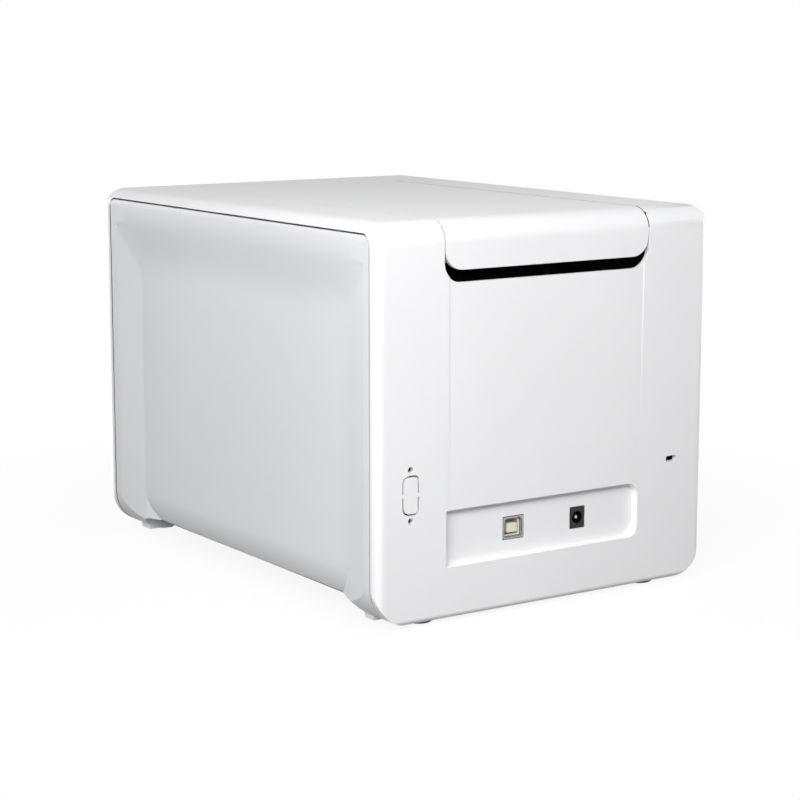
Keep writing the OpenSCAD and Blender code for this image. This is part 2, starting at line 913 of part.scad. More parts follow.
module driven_roller(y) {
    color("black")
        roller(y, roller_z, roller_r, 26, shaft_r, -plate_x - plate_t - 1, gear_x + gear_w + 2.5);
}

module driven_gear(y, phase) {
    color("ivory")
        gear_on(gear_x, y, roller_z, roller_teeth, phase, shaft_r, 5.5, gear_w);
}

module feed_roller() { driven_roller(feed_y); }
module platen_roller() { driven_roller(platen_y); }
module back_roller() { driven_roller(back_y); }
module feed_gear() { driven_gear(feed_y, p_feed); }
module platen_gear() { driven_gear(platen_y, p_platen); }
module back_gear() { driven_gear(back_y, p_back); }

module idler(y, phase) {
    color("ivory")
        gear_on(gear_x, y, roller_z, idler_teeth, phase, 2.5 + run_gap, 4.5, gear_w);
}

module front_idler() { idler(platen_y - mesh_d, p_front); }
module rear_idler() { idler(platen_y + mesh_d, p_rear); }

module reduction_gear() {
    color("ivory")
        difference() {
            gear_on(gear_x, platen_y, red_z, reduction_teeth, p_red, 2.5 + run_gap, 6, gear_w);
            gear_windows(gear_x, platen_y, red_z, 12, 4.2, 6);
        }
}

// Motor shaft with its pinion, on the right.
module motor_pinion(y, z, phase) {
    union() {
        gear_on(gear_x, y, z, pinion_teeth, phase, 2.4, 0, gear_w);
        rod(plate_x - 14, gear_x + gear_w + 1.5, y, z, 2.5);
    }
}

module main_pinion() {
    color("silver")
        motor_pinion(platen_y, main_z, p_main);
}

module pick_pinion() {
    color("silver")
        motor_pinion(pick_y, pick_z, p_pick);
}

module ribbon_pinion() {
    color("silver")
        mirror([1, 0, 0])
            motor_pinion(ribbon_y, ribbon_z, p_ribbon);
}

module pick_roller() {
    color("black")
        roller(pick_y, roller_z, roller_r, 12, shaft_r, -plate_x - plate_t - 1, gear_x + gear_w + 2.5);
}

module pick_gear() {
    color("ivory")
        difference() {
            gear_on(gear_x, pick_y, roller_z, pick_teeth, 0, shaft_r, 6, gear_w);
            gear_windows(gear_x, pick_y, roller_z, 10, 2.8, 6);
        }
}

module free_roller(y) {
    union() {
        rod(-25, 25, y, free_z(), pinch_r);
        rod(-plate_x - plate_t - 1, plate_x + plate_t + 1, y, free_z(), 2);
    }
}

module cleaning_roller() {
    color("skyblue")
        free_roller(feed_y);
}

module pinch_roller() {
    color("dimgray")
        free_roller(back_y);
}

// Square stepping motor inside the right plate, shaft towards +X.
module motor(y, z, len, half = 17.5) {
    difference() {
        union() {
            along_x(plate_x - len, plate_x)
                translate([y, z])
                    round_rect(-half, -half, half, half, [4, 4, 4, 4]);
            rod(plate_x - 0.1, plate_x + plate_t, y, z, 11);
        }
        rod(plate_x - 15, plate_x + plate_t + 1, y, z, 2.5 + run_gap);
        // band between the end bells
        difference() {
            along_x(plate_x - len + 7, plate_x - 8)
                translate([y, z])
                    square(60, center = true);
            rod(plate_x - len, plate_x, y, z, half - 0.5);
        }
    }
}

module main_motor() {
    color("dimgray")
        motor(platen_y, main_z, 32);
}

module pick_motor() {
    color("dimgray")
        motor(pick_y, pick_z, 28, 15.2);
}

module ribbon_motor() {
    color("dimgray")
        mirror([1, 0, 0])
            motor(ribbon_y, ribbon_z, 28);
}

// ---- ribbon ----

// Core with end flanges and the ribbon wound on it.
module spool(y, roll_r, flange_r) {
    union() {
        rod(-32, 32, y, spool_z, core_r);
        rod(-28, 28, y, spool_z, roll_r);
        both_sides()
            rod(30, 31.6, y, spool_z, flange_r);
    }
}

module takeup_spool() {
    color("darkslategray") {
        spool(take_y, takeup_r, takeup_r + 2);
        rod(-gear_x - gear_w - 2, plate_x + plate_t + 2, take_y, spool_z, 4);
    }
}

module supply_spool() {
    color("darkslategray") {
        spool(supply_y, supply_r, supply_r + 1);
        rod(-plate_x - plate_t - 2, plate_x + plate_t + 2, supply_y, spool_z, 4);
    }
}

module takeup_gear() {
    color("ivory")
        mirror([1, 0, 0])
            difference() {
                gear_on(gear_x, take_y, spool_z, takeup_teeth, 0, 4, 7, gear_w);
                gear_windows(gear_x, take_y, spool_z, 13, 4, 6);
            }
}

// Film from the supply roll, under the head, to the used roll.
module ribbon_film() {
    z = bed_z + 0.3;
    color("purple", 0.6)
        along_x(-27, 27)
            polygon([[supply_y - 3, spool_z - supply_r - 0.3], [platen_y + 8, z], [platen_y - 8, z],
                [take_y + 3, spool_z - takeup_r - 0.3], [take_y + 3, spool_z - takeup_r - 0.5],
                [platen_y - 8, z - 0.2], [platen_y + 8, z - 0.2],
                [supply_y - 3, spool_z - supply_r - 0.5]]);
}

// ---- electronics at the rear ----

// Board with its parts soldered on, each a solid of its own.
module main_board() {
    z = board_z;
    top = z + 1.62;
    y0 = board_y;
    y1 = rear_y - 14;
    color("seagreen")
        difference() {
            box([-58, y0, z], [56, rear_y - pocket_in - 3.6, z + 1.6]);
            for (x = [-54, 52])
                for (y = [y0 + 4, y1])
                    rod_z(z - 1, z + 3, x, y, 1.6);
        }
    // processor, memory, driver chips
    color("dimgray") {
        box([-12, y0 + 36, top], [8, y0 + 56, z + 3.2]);
        box([16, y0 + 40, top], [26, y0 + 52, z + 2.8]);
        for (i = [0:2])
            box([-46, y0 + 18 + i * 18, top], [-34, y0 + 28 + i * 18, z + 3]);
    }
    // electrolytic capacitors
    color("silver")
        for (p = [[-30, y1 - 17], [-42, y1 - 17], [-42, y1 - 29]])
            rod_z(top, z + 13, p[0], p[1], 4);
    // plug headers
    color("ivory")
        for (i = [0:3])
            box([34, y0 + 8 + i * 16, top], [42, y0 + 18 + i * 16, z + 8]);
    // standoffs
    color("silver")
        for (x = [-54, 52])
            for (y = [y0 + 4, y1])
                difference() {
                    rod_z(base_z + arch_h + 2.8, z - 0.02, x, y, 3.4);
                    rod_z(z - 8, z + 1, x, y, 1.4);
                }
}

module usb_socket() {
    y1 = rear_y - pocket_in;
    color("silver")
        difference() {
            box([usb_x - 6.2, y1 - 16, port_z - 5.5], [usb_x + 6.2, y1, port_z + 5.7]);
            // keyed mouth with its two cut corners
            along_y(y1 - 9.5, y1 + 1)
                translate([usb_x, port_z])
                    polygon([[-4.6, -4.2], [4.6, -4.2], [4.6, 1.9], [2.9, 4.1], [-2.9, 4.1], [-4.6, 1.9]]);
        }
    color("ivory")
        box([usb_x - 2.8, y1 - 9.6, port_z - 2.3], [usb_x + 2.8, y1 - 1, port_z + 1.1]);
}

module dc_inlet() {
    y1 = rear_y - pocket_in;
    color("black")
        difference() {
            box([dc_x - 4.6, y1 - 14, port_z - 5.4], [dc_x + 4.6, y1, port_z + 5.4]);
            rod_y(y1 - 9.5, y1 + 1, dc_x, port_z, 3.2);
        }
    color("silver")
        rod_y(y1 - 9.6, y1 - 0.8, dc_x, port_z, 1);
}

module lock_plate() {
    color("slategray")
        difference() {
            along_y(rear_y - wall - 2, rear_y - wall)
                round_rect(lock_x - 11.5, lock_z - 10, lock_x + 11.5, lock_z + 10, [2, 2, 2, 2]);
            along_y(rear_y - wall - 3, rear_y)
                lock_hole();
        }
}

// ---- lid ----

module lid_cover() {
    color("white")
        difference() {
            union() {
                difference() {
                    intersection() {
                        outer_block();
                        lid_space(0);
                    }
                    intersection() {
                        along_x(-lid_hw + lid_t, lid_hw - lid_t)
                            side_outline(lid_t);
                        box([-hw, lid_front + lid_t, 0], [hw, rear_y, top_z]);
                    }
                }
                // hinge ears
                both_sides() {
                    rod(56.6, lid_hw - 0.3, hinge_y, hinge_z, 6.5);
                    box([56.6, hinge_y - 6.5, hinge_z], [lid_hw - 0.3, hinge_y + 3.5, top_z - lid_t + 0.1]);
                }
            }
            both_sides()
                rod(50, 64, hinge_y, hinge_z, hinge_pin_r + run_gap);
        }
}

head_y = platen_y + 2;
liner_z = top_z - 11;
post_x = 22;

module lid_liner() {
    y0 = lid_front + lid_t + 0.5;
    y1 = hinge_y - 14;
    z1 = top_z - lid_t;
    color("gainsboro")
        difference() {
            union() {
                box([-lid_hw + lid_t + 0.4, y0, liner_z], [lid_hw - lid_t - 0.4, y1, z1]);
                // arms beside the head
                both_sides()
                    box([31.9, head_y - 8, path_z + 24], [35.9, head_y + 8, liner_z + 1]);
                // guide posts
                both_sides()
                    rod_z(path_z + 29, liner_z + 1, post_x, head_y, 2.5);
            }
            // pockets between the ribs
            for (x = [-57.5, -18, 21.5])
                for (r = [[y0 + 2, y0 + 48], [y0 + 52, head_y - 12], [head_y + 12, y1 - 2]])
                    box([x, r[0], liner_z - 1], [x + 36, r[1], z1 - 1.2]);
        }
}

module lid_magnets() {
    color("silver")
        both_sides()
            rod_z(liner_z - 3, liner_z, 48, lid_front + 4 + lid_t + 47, 4);
}

// Coil spring between the carrier and the liner.
module coil(x, y, z0, z1, r, wire, turns) {
    translate([x, y, z0])
        linear_extrude(height = z1 - z0, twist = -360 * turns, slices = 14 * turns, $fn = 8)
            translate([r, 0])
                scale([1, 1.6])
                    circle(wire);
}

module head_springs() {
    color("silver")
        both_sides()
            coil(post_x, head_y, path_z + 38.4, liner_z - 0.2, 3.9, 0.6, 6);
}

module head_carrier() {
    color("silver")
        difference() {
            union() {
                box([-31, head_y - 12, path_z + 34], [31, head_y + 12, path_z + 38]);
                both_sides()
                    box([29.4, head_y - 12, path_z + 14], [31, head_y + 12, path_z + 34.1]);
                both_sides()
                    rod_z(path_z + 31, path_z + 34.1, post_x, head_y, 4.4);
            }
            both_sides()
                rod_z(path_z, path_z + 45, post_x, head_y, 2.5 + run_gap);
        }
}

module heat_sink() {
    color("silver")
        difference() {
            box([-29, head_y - 11.5, path_z + 14.4], [29, head_y + 11.5, path_z + 34]);
            // slots between the fins
            for (i = [0:8])
                box([i * 6.4 - 27, head_y - 13, path_z + 18], [i * 6.4 - 23.4, head_y + 13, path_z + 35]);
            both_sides()
                rod_z(path_z + 26, path_z + 40, post_x, head_y, 5);
        }
}

module print_head() {
    y = platen_y;
    z = bed_z + 0.8;
    color("tan")
        union() {
            along_x(-28.5, 28.5)
                polygon([[y - 1.2, z], [y + 2.2, z], [y + 7, z + 5.5],
                    [y + 10, z + 14], [y - 6, z + 14], [y - 4, z + 5.5]]);
            // connector at the back
            box([-20, y + 8.4, z + 9], [20, y + 12, z + 13.5]);
        }
}

casing();
right_panel();
left_panel();
base_pan();
rubber_feet();
front_fascia();
output_tray();
chassis_right();
chassis_left();
tie_bars();
card_guide();
edge_guides();
hopper();
exit_chute();
main_board();
usb_socket();
dc_inlet();
lock_plate();
front_board();
light_pipe();
main_motor();
pick_motor();
ribbon_motor();
bushes();
hinge_pins();
case_screws();
ribbon_film();
lid_cover();
lid_liner();
lid_magnets();
head_springs();
head_carrier();
print_head();
heat_sink();
tray_stop();
gauge_lever();
control_button();
feeder_door();
card_pusher();
feed_roller();
feed_gear();
platen_roller();
platen_gear();
back_roller();
back_gear();
front_idler();
rear_idler();
cleaning_roller();
pinch_roller();
main_pinion();
reduction_gear();
pick_roller();
pick_gear();
pick_pinion();
takeup_spool();
takeup_gear();
ribbon_pinion();
supply_spool();
divert_gate();
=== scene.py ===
import json
import math

import bmesh
import bpy
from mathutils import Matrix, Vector

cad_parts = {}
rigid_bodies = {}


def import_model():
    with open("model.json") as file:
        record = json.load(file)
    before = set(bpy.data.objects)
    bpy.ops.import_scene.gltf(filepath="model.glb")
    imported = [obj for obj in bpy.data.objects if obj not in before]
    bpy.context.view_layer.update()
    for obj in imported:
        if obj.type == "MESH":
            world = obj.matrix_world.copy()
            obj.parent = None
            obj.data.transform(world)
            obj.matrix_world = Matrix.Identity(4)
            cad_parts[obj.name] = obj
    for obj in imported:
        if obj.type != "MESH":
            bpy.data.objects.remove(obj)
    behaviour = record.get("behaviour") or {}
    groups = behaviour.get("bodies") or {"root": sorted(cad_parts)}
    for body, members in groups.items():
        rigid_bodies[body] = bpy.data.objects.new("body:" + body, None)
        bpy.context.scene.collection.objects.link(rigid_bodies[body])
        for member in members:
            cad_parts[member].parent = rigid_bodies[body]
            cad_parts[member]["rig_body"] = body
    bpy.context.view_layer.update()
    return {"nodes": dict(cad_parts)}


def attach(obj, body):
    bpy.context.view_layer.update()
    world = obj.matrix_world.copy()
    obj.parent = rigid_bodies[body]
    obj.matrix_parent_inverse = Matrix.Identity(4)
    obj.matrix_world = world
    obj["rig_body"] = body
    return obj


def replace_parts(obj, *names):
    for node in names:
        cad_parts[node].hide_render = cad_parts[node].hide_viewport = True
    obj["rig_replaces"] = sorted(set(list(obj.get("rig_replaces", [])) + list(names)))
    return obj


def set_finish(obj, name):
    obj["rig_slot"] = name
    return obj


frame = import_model()
print("frame loaded", len(frame["nodes"]), "nodes")

# shared sizes in metres, as in the CAD source
halfWidth = 0.1025
frontY = -0.123
rearY = 0.155
bottomZ = 0.002
topZ = 0.197
lidFrontY = -0.075
flapZ = 0.1726
# how far a cutter runs past the face that it opens, and past a whole piece
past = 0.001
farPast = 0.01


def clearSelection():
    bpy.ops.object.select_all(action="DESELECT")


def makeActive(piece):
    clearSelection()
    piece.select_set(True)
    bpy.context.view_layer.objects.active = piece


def setMode(mode):
    bpy.ops.object.mode_set(mode=mode)


def isAt(value, place, within=1e-6):
    return abs(value - place) < within


def bothSides(inner, outer):
    # the same stretch of X on the left and on the right, low end first
    return ((-outer, -inner), (inner, outer))


def pickVerts(piece, test):
    # selects the vertices whose place passes the test, in edit mode
    mesh = bmesh.from_edit_mesh(piece.data)
    bpy.context.tool_settings.mesh_select_mode = (True, False, False)
    for face in mesh.faces:
        face.select = False
    for edge in mesh.edges:
        edge.select = False
    for vert in mesh.verts:
        vert.select = bool(test(vert.co))
    mesh.select_flush(True)
    bmesh.update_edit_mesh(piece.data)


def pickEdges(piece, test):
    # selects edges by their middle and direction
    mesh = bmesh.from_edit_mesh(piece.data)
    bpy.context.tool_settings.mesh_select_mode = (False, True, False)
    for face in mesh.faces:
        face.select = False
    for edge in mesh.edges:
        middle = (edge.verts[0].co + edge.verts[1].co) / 2
        way = (edge.verts[1].co - edge.verts[0].co).normalized()
        edge.select = bool(test(middle, way))
    mesh.select_flush(True)
    bmesh.update_edit_mesh(piece.data)


def pickFaces(piece, test):
    # selects faces by their centre and normal
    mesh = bmesh.from_edit_mesh(piece.data)
    bpy.context.tool_settings.mesh_select_mode = (False, False, True)
    mesh.normal_update()
    for face in mesh.faces:
        face.select = bool(test(face.calc_center_median(), face.normal))
    mesh.select_flush(True)
    bmesh.update_edit_mesh(piece.data)


def pointNormalsOut():
    bpy.ops.mesh.select_all(action="SELECT")
    bpy.ops.mesh.normals_make_consistent(inside=False)


def extrudeBy(x, y, z):
    bpy.ops.mesh.extrude_region_move(TRANSFORM_OT_translate={"value": (x, y, z)})


planeTurns = {"X": (math.pi / 2, 0, math.pi / 2), "Y": (math.pi / 2, 0, 0), "Z": (0, 0, 0)}
planeAxes = {"X": (1, 2, 0), "Y": (0, 2, 1), "Z": (0, 1, 2)}


def roundSlab(name, axis, low, high, start, stop, radii, steps=12):
    # plane with rounded corners, pushed along an axis; radii from lower left, anticlockwise
    across, up, along = planeAxes[axis]
    middle = [0, 0, 0]
    middle[across] = (low[0] + high[0]) / 2
    middle[up] = (low[1] + high[1]) / 2
    middle[along] = start
    clearSelection()
    bpy.ops.mesh.primitive_plane_add(size=1, location=middle, rotation=planeTurns[axis])
    slab = bpy.context.object
    slab.name = name
    slab.scale = (high[0] - low[0], high[1] - low[1], 1)
    bpy.ops.object.transform_apply(location=True, rotation=True, scale=True)
    setMode("EDIT")
    corners = [(low[0], low[1]), (high[0], low[1]), (high[0], high[1]), (low[0], high[1])]
    for corner, radius in zip(corners, radii):
        if radius > 0:
            pickVerts(slab, lambda co: isAt(co[across], corner[0]) and isAt(co[up], corner[1]))
            bpy.ops.mesh.bevel(offset=radius, segments=steps, profile=0.5, affect="VERTICES")
    push = [0, 0, 0]
    push[along] = stop - start
    bpy.ops.mesh.select_all(action="SELECT")
    extrudeBy(*push)
    pointNormalsOut()
    setMode("OBJECT")
    return slab


def block(name, low, high):
    return roundSlab(name, "Z", low[:2], high[:2], low[2], high[2], (0, 0, 0, 0))


def rodAlong(name, axis, middle, start, stop, radius, sides=40):
    # round bar along X, Y or Z through the other two coordinates
    across, up, along = planeAxes[axis]
    place = [0, 0, 0]
    place[across], place[up], place[along] = middle[0], middle[1], (start + stop) / 2
    clearSelection()
    bpy.ops.mesh.primitive_cylinder_add(
        vertices=sides, radius=radius, depth=stop - start, location=place, rotation=planeTurns[axis])
    bar = bpy.context.object
    bar.name = name
    bpy.ops.object.transform_apply(location=True, rotation=True, scale=True)
    return bar


def combine(piece, other, way):
    change = piece.modifiers.new(way.lower(), "BOOLEAN")
    change.operation = way
    change.solver = "EXACT"
    change.object = other
    makeActive(piece)
    bpy.ops.object.modifier_apply(modifier=change.name)
    bpy.data.objects.remove(other, do_unlink=True)


def cutAway(piece, *others):
    for other in others:
        combine(piece, other, "DIFFERENCE")


def addTo(piece, other):
    combine(piece, other, "UNION")


def keepWithin(piece, other):
    combine(piece, other, "INTERSECT")


def softenEdges(piece, width, segments=3, angle=32, smoothAngle=40):
    # small rounding on every crisp edge, then shading that keeps the large faces flat
    soften = piece.modifiers.new("soften", "BEVEL")
    soften.width = width
    soften.segments = segments
    soften.limit_method = "ANGLE"
    soften.angle_limit = math.radians(angle)
    soften.miter_outer = "MITER_ARC"
    soften.use_clamp_overlap = True
    soften.harden_normals = False
    makeActive(piece)
    bpy.ops.object.modifier_apply(modifier=soften.name)
    bpy.ops.object.shade_smooth_by_angle(angle=math.radians(smoothAngle))
    evenOut = piece.modifiers.new("evenOut", "WEIGHTED_NORMAL")
    evenOut.mode = "FACE_AREA"
    evenOut.weight = 60
    evenOut.keep_sharp = True
    bpy.ops.object.modifier_apply(modifier=evenOut.name)


def mergeClose(piece, dissolve=True):
    # joins what a boolean left apart, and flat faces unless they have openings in them
    makeActive(piece)
    setMode("EDIT")
    bpy.ops.mesh.select_all(action="SELECT")
    bpy.ops.mesh.remove_doubles(threshold=0.00002)
    if dissolve:
        bpy.ops.mesh.dissolve_limited(angle_limit=math.radians(0.4))
    setMode("OBJECT")


def dress(piece, body, node, slot, finish):
    piece.data.materials.clear()
    piece.data.materials.append(finishes[finish])
    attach(piece, body)
    if node:
        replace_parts(piece, node)
    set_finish(piece, slot)
    print("made", piece.name, len(piece.data.polygons), "faces")


def newMaterial(name):
    material = bpy.data.materials.new(name)
    material.use_nodes = True
    tree = material.node_tree
    return material, tree, tree.nodes["Principled BSDF"]


def addNode(tree, kind, **settings):
    node = tree.nodes.new(kind)
    for key, value in settings.items():
        setattr(node, key, value)
    return node


def setInputs(node, values):
    for key, value in values.items():
        node.inputs[key].default_value = value


def objectNoise(tree, scale, detail, stretch=(1, 1, 1)):
    # noise on the piece's own coordinates, scale in cells per metre
    place = addNode(tree, "ShaderNodeTexCoord")
    mapping = addNode(tree, "ShaderNodeMapping")
    noise = addNode(tree, "ShaderNodeTexNoise")
    setInputs(mapping, {"Scale": stretch})
    setInputs(noise, {"Scale": scale, "Detail": detail})
    tree.links.new(place.outputs["Object"], mapping.inputs["Vector"])
    tree.links.new(mapping.outputs["Vector"], noise.inputs["Vector"])
    return noise.outputs["Fac"]


def linear(level):
    # written colours are display values from 0 to 255
    value = level / 255
    return value / 12.92 if value <= 0.04045 else ((value + 0.055) / 1.055) ** 2.4


def colour(red, green, blue):
    return (linear(red), linear(green), linear(blue), 1)


def tintBy(tree, shader, level, dark, light, places=(0, 1)):
    # base colour runs from dark to light between two places of the level
    tones = addNode(tree, "ShaderNodeValToRGB")
    for stop, place, tone in zip(tones.color_ramp.elements, places, (dark, light)):
        stop.position = place
        stop.color = colour(*tone)
    tree.links.new(level, tones.inputs["Fac"])
    tree.links.new(tones.outputs["Color"], shader.inputs["Base Color"])


def roughenBy(tree, shader, level, least, most):
    spread = addNode(tree, "ShaderNodeMapRange")
    setInputs(spread, {"To Min": least, "To Max": most})
    tree.links.new(level, spread.inputs["Value"])
    tree.links.new(spread.outputs["Result"], shader.inputs["Roughness"])


def bumpBy(tree, shader, level, strength, depth):
    bump = addNode(tree, "ShaderNodeBump")
    setInputs(bump, {"Strength": strength, "Distance": depth})
    tree.links.new(level, bump.inputs["Height"])
    tree.links.new(bump.outputs["Normal"], shader.inputs["Normal"])


def mouldedPlastic(name, look):
    # injection-moulded plastic: faint drift of colour, fine spark-eroded grain, uneven gloss
    material, tree, shader = newMaterial(name)
    drift = objectNoise(tree, look["driftScale"], 3)
    tintBy(tree, shader, drift, look["dark"], look["light"], (0.3, 0.7))
    wear = objectNoise(tree, look["driftScale"] * 4, 5)
    rough, spread = look["roughness"], look["roughSpread"]
    roughenBy(tree, shader, wear, rough - spread, rough + spread)
    grain = objectNoise(tree, look["grainScale"], 2)
    bumpBy(tree, shader, grain, look["grainStrength"], look["grainDepth"])
    setInputs(shader, {"IOR": 1.49, "Specular IOR Level": look["specular"]})
    setInputs(shader, {"Coat Weight": look.get("coat", 0), "Coat Roughness": 0.12})
    return material


plasticLooks = {
    "whiteShell": {
        "dark": (238, 238, 239), "light": (242, 242, 243), "driftScale": 9,
        "roughness": 0.44, "roughSpread": 0.04,
        "grainScale": 2600, "grainStrength": 0.12, "grainDepth": 0.00004, "specular": 0.3, "coat": 0.05},
    "greyPanel": {
        "dark": (225, 227, 229), "light": (230, 232, 234), "driftScale": 8,
        "roughness": 0.44, "roughSpread": 0.05,
        "grainScale": 2400, "grainStrength": 0.15, "grainDepth": 0.00004, "specular": 0.24},
    "darkPlastic": {
        "dark": (40, 41, 43), "light": (52, 53, 55), "driftScale": 20,
        "roughness": 0.48, "roughSpread": 0.07,
        "grainScale": 1700, "grainStrength": 0.3, "grainDepth": 0.00007, "specular": 0.4},
    "greyPlastic": {
        "dark": (150, 152, 155), "light": (164, 166, 168), "driftScale": 16,
        "roughness": 0.45, "roughSpread": 0.06,
        "grainScale": 1900, "grainStrength": 0.22, "grainDepth": 0.00005, "specular": 0.4},
    "gearPlastic": {
        "dark": (226, 220, 204), "light": (236, 231, 217), "driftScale": 30,
        "roughness": 0.42, "roughSpread": 0.06,
        "grainScale": 2500, "grainStrength": 0.12, "grainDepth": 0.00003, "specular": 0.45},
    "blackPlastic": {
        "dark": (12, 12, 13), "light": (18, 18, 19), "driftScale": 26,
        "roughness": 0.36, "roughSpread": 0.06,
        "grainScale": 2000, "grainStrength": 0.2, "grainDepth": 0.00004, "specular": 0.45},
}


def rubberFinish(name, dark, light, roughness):
    # matt rubber with a ground surface and a little dust
    material, tree, shader = newMaterial(name)
    ground = objectNoise(tree, 900, 6, (0.25, 1, 1))
    tintBy(tree, shader, ground, dark, light, (0.35, 0.75))
    roughenBy(tree, shader, objectNoise(tree, 60, 3), roughness - 0.06, roughness + 0.08)
    bumpBy(tree, shader, ground, 0.35, 0.00006)
    setInputs(shader, {"Specular IOR Level": 0.3})
    return material


def brushedMetal(name, dark, light, roughness, grainWay=(1, 30, 30), scale=60):
    # metal with drawn grain: long fine streaks in colour, gloss and relief
    material, tree, shader = newMaterial(name)
    streaks = objectNoise(tree, scale, 6, grainWay)
    tintBy(tree, shader, streaks, dark, light, (0.3, 0.72))
    roughenBy(tree, shader, streaks, roughness - 0.07, roughness + 0.09)
    bumpBy(tree, shader, streaks, 0.18, 0.00004)
    setInputs(shader, {"Metallic": 1})
    return material


def boardFinish(name):
    # solder mask over copper tracks: squared cells of two greens
    material, tree, shader = newMaterial(name)
    place = addNode(tree, "ShaderNodeTexCoord")
    tracks = addNode(tree, "ShaderNodeTexBrick")
    setInputs(tracks, {"Scale": 130, "Mortar Size": 0.03, "Mortar": colour(46, 118, 74)})
    setInputs(tracks, {"Color1": colour(22, 78, 50), "Color2": colour(28, 90, 57)})
    tree.links.new(place.outputs["Object"], tracks.inputs["Vector"])
    tree.links.new(tracks.outputs["Color"], shader.inputs["Base Color"])
    roughenBy(tree, shader, objectNoise(tree, 70, 4), 0.24, 0.42)
    bumpBy(tree, shader, tracks.outputs["Fac"], 0.3, 0.00003)
    return material


def filmFinish(name):
    # dye ribbon: panels of magenta, cyan and yellow along the film
    material, tree, shader = newMaterial(name)
    place = addNode(tree, "ShaderNodeTexCoord")
    split = addNode(tree, "ShaderNodeSeparateXYZ")
    step = addNode(tree, "ShaderNodeMath", operation="MULTIPLY")
    panelsPerMetre = 22
    step.inputs[1].default_value = panelsPerMetre
    wrap = addNode(tree, "ShaderNodeMath", operation="FRACT")
    tones = addNode(tree, "ShaderNodeValToRGB")
    ramp = tones.color_ramp
    ramp.interpolation = "CONSTANT"
    ramp.elements[0].color = colour(196, 60, 92)
    ramp.elements[1].position = 0.4
    ramp.elements[1].color = colour(40, 130, 160)
    ramp.elements.new(0.72).color = colour(214, 190, 70)
    tree.links.new(place.outputs["Object"], split.inputs["Vector"])
    tree.links.new(split.outputs["Y"], step.inputs[0])
    tree.links.new(step.outputs["Value"], wrap.inputs[0])
    tree.links.new(wrap.outputs["Value"], tones.inputs["Fac"])
    tree.links.new(tones.outputs["Color"], shader.inputs["Base Color"])
    bumpBy(tree, shader, objectNoise(tree, 90, 3, (1, 0.3, 1)), 0.25, 0.0002)
    setInputs(shader, {"Roughness": 0.22})
    return material


def ceramicFinish(name):
    # glazed ceramic with faint mottling
    material, tree, shader = newMaterial(name)
    mottle = objectNoise(tree, 220, 4)
    tintBy(tree, shader, mottle, (204, 196, 180), (222, 216, 203))
    bumpBy(tree, shader, mottle, 0.15, 0.00003)
    setInputs(shader, {"Roughness": 0.26})
    return material


def frostedAcrylic(name):
    # clear acrylic bar with a frosted, slightly cloudy body
    material, tree, shader = newMaterial(name)
    cloud = objectNoise(tree, 300, 3)
    tintBy(tree, shader, cloud, (206, 216, 222), (228, 236, 240))
    roughenBy(tree, shader, cloud, 0.16, 0.32)
    setInputs(shader, {"Transmission Weight": 0.35})
    return material


finishes = {name: mouldedPlastic(name, look) for name, look in plasticLooks.items()}
finishes["rubber"] = rubberFinish("rubber", (22, 22, 23), (33, 33, 34), 0.74)
# painted shade: this near-black finish goes on the casing's inner faces to stand in for the shade inside the
# machine
finishes["paintedInsideShade"] = rubberFinish("paintedInsideShade", (24, 24, 26), (34, 34, 37), 0.82)
finishes["paleRubber"] = rubberFinish("paleRubber", (150, 151, 154), (166, 167, 170), 0.7)
finishes["cleaningRubber"] = rubberFinish("cleaningRubber", (84, 140, 176), (104, 160, 194), 0.52)
finishes["steel"] = brushedMetal("steel", (158, 160, 163), (188, 190, 192), 0.3)
finishes["plateSteel"] = brushedMetal("plateSteel", (126, 130, 135), (150, 153, 157), 0.42, (30, 1, 4), 40)
finishes["aluminium"] = brushedMetal("aluminium", (190, 192, 194), (212, 214, 215), 0.36, (30, 1, 30), 55)
finishes["brass"] = brushedMetal("brass", (176, 140, 78), (204, 168, 98), 0.3)
finishes["circuitBoard"] = boardFinish("circuitBoard")
finishes["ribbonFilm"] = filmFinish("ribbonFilm")
finishes["ceramic"] = ceramicFinish("ceramic")
finishes["lightPipe"] = frostedAcrylic("lightPipe")
print("materials ready", len(finishes))


casing = {
    "wall": 0.003, "topRadius": 0.0095, "bottomRadius": 0.020, "rearTopRadius": 0.0115,
    "frontTopRadius": 0.008, "frontFootRadius": 0.006, "rearFootRadius": 0.003, "uprightRadius": 0.005,
    "frontEdgeRadius": 0.0018, "lidOpening": 0.0632, "ledgeOuter": 0.0652, "slotZ": 0.1665,
    "flapRadius": 0.010, "flapDepth": 0.006, "footInner": 0.0787, "footTop": 0.0106, "edge": 0.0006,
}
arch = {"height": 0.009, "front": 0.028, "rear": 0.024, "radius": 0.0075}
strip = {"half": 0.0617, "depth": 0.0006, "low": 0.029, "high": 0.1725, "slope": 0.0022}
pocket = {
    "low": (-0.0592, 0.0276), "high": (0.0620, 0.0560), "depth": 0.004, "round": 0.0062, "square": 0.0012,
    "backLow": (-0.063, 0.024), "backHigh": (0.064, 0.0596), "backDepth": 0.007,
    "narrowing": (0.985, 1, 0.965), "middle": (0.004, rearY, 0.0424),
}
knockout = {
    "low": (0.0776, 0.0562), "high": (0.0874, 0.0758), "radii": (0.0025, 0.004, 0.004, 0.0025),
    "plugLow": (0.0785, 0.0571), "plugHigh": (0.0865, 0.0749), "plugRadii": (0.0016, 0.0031, 0.0031, 0.0016),
    "bridgeLow": (0.0765, 0.0651), "bridgeHigh": (0.0885, 0.0669),
    "screwX": 0.0825, "screwZ": (0.0535, 0.0785), "screwRadius": 0.0016,
}


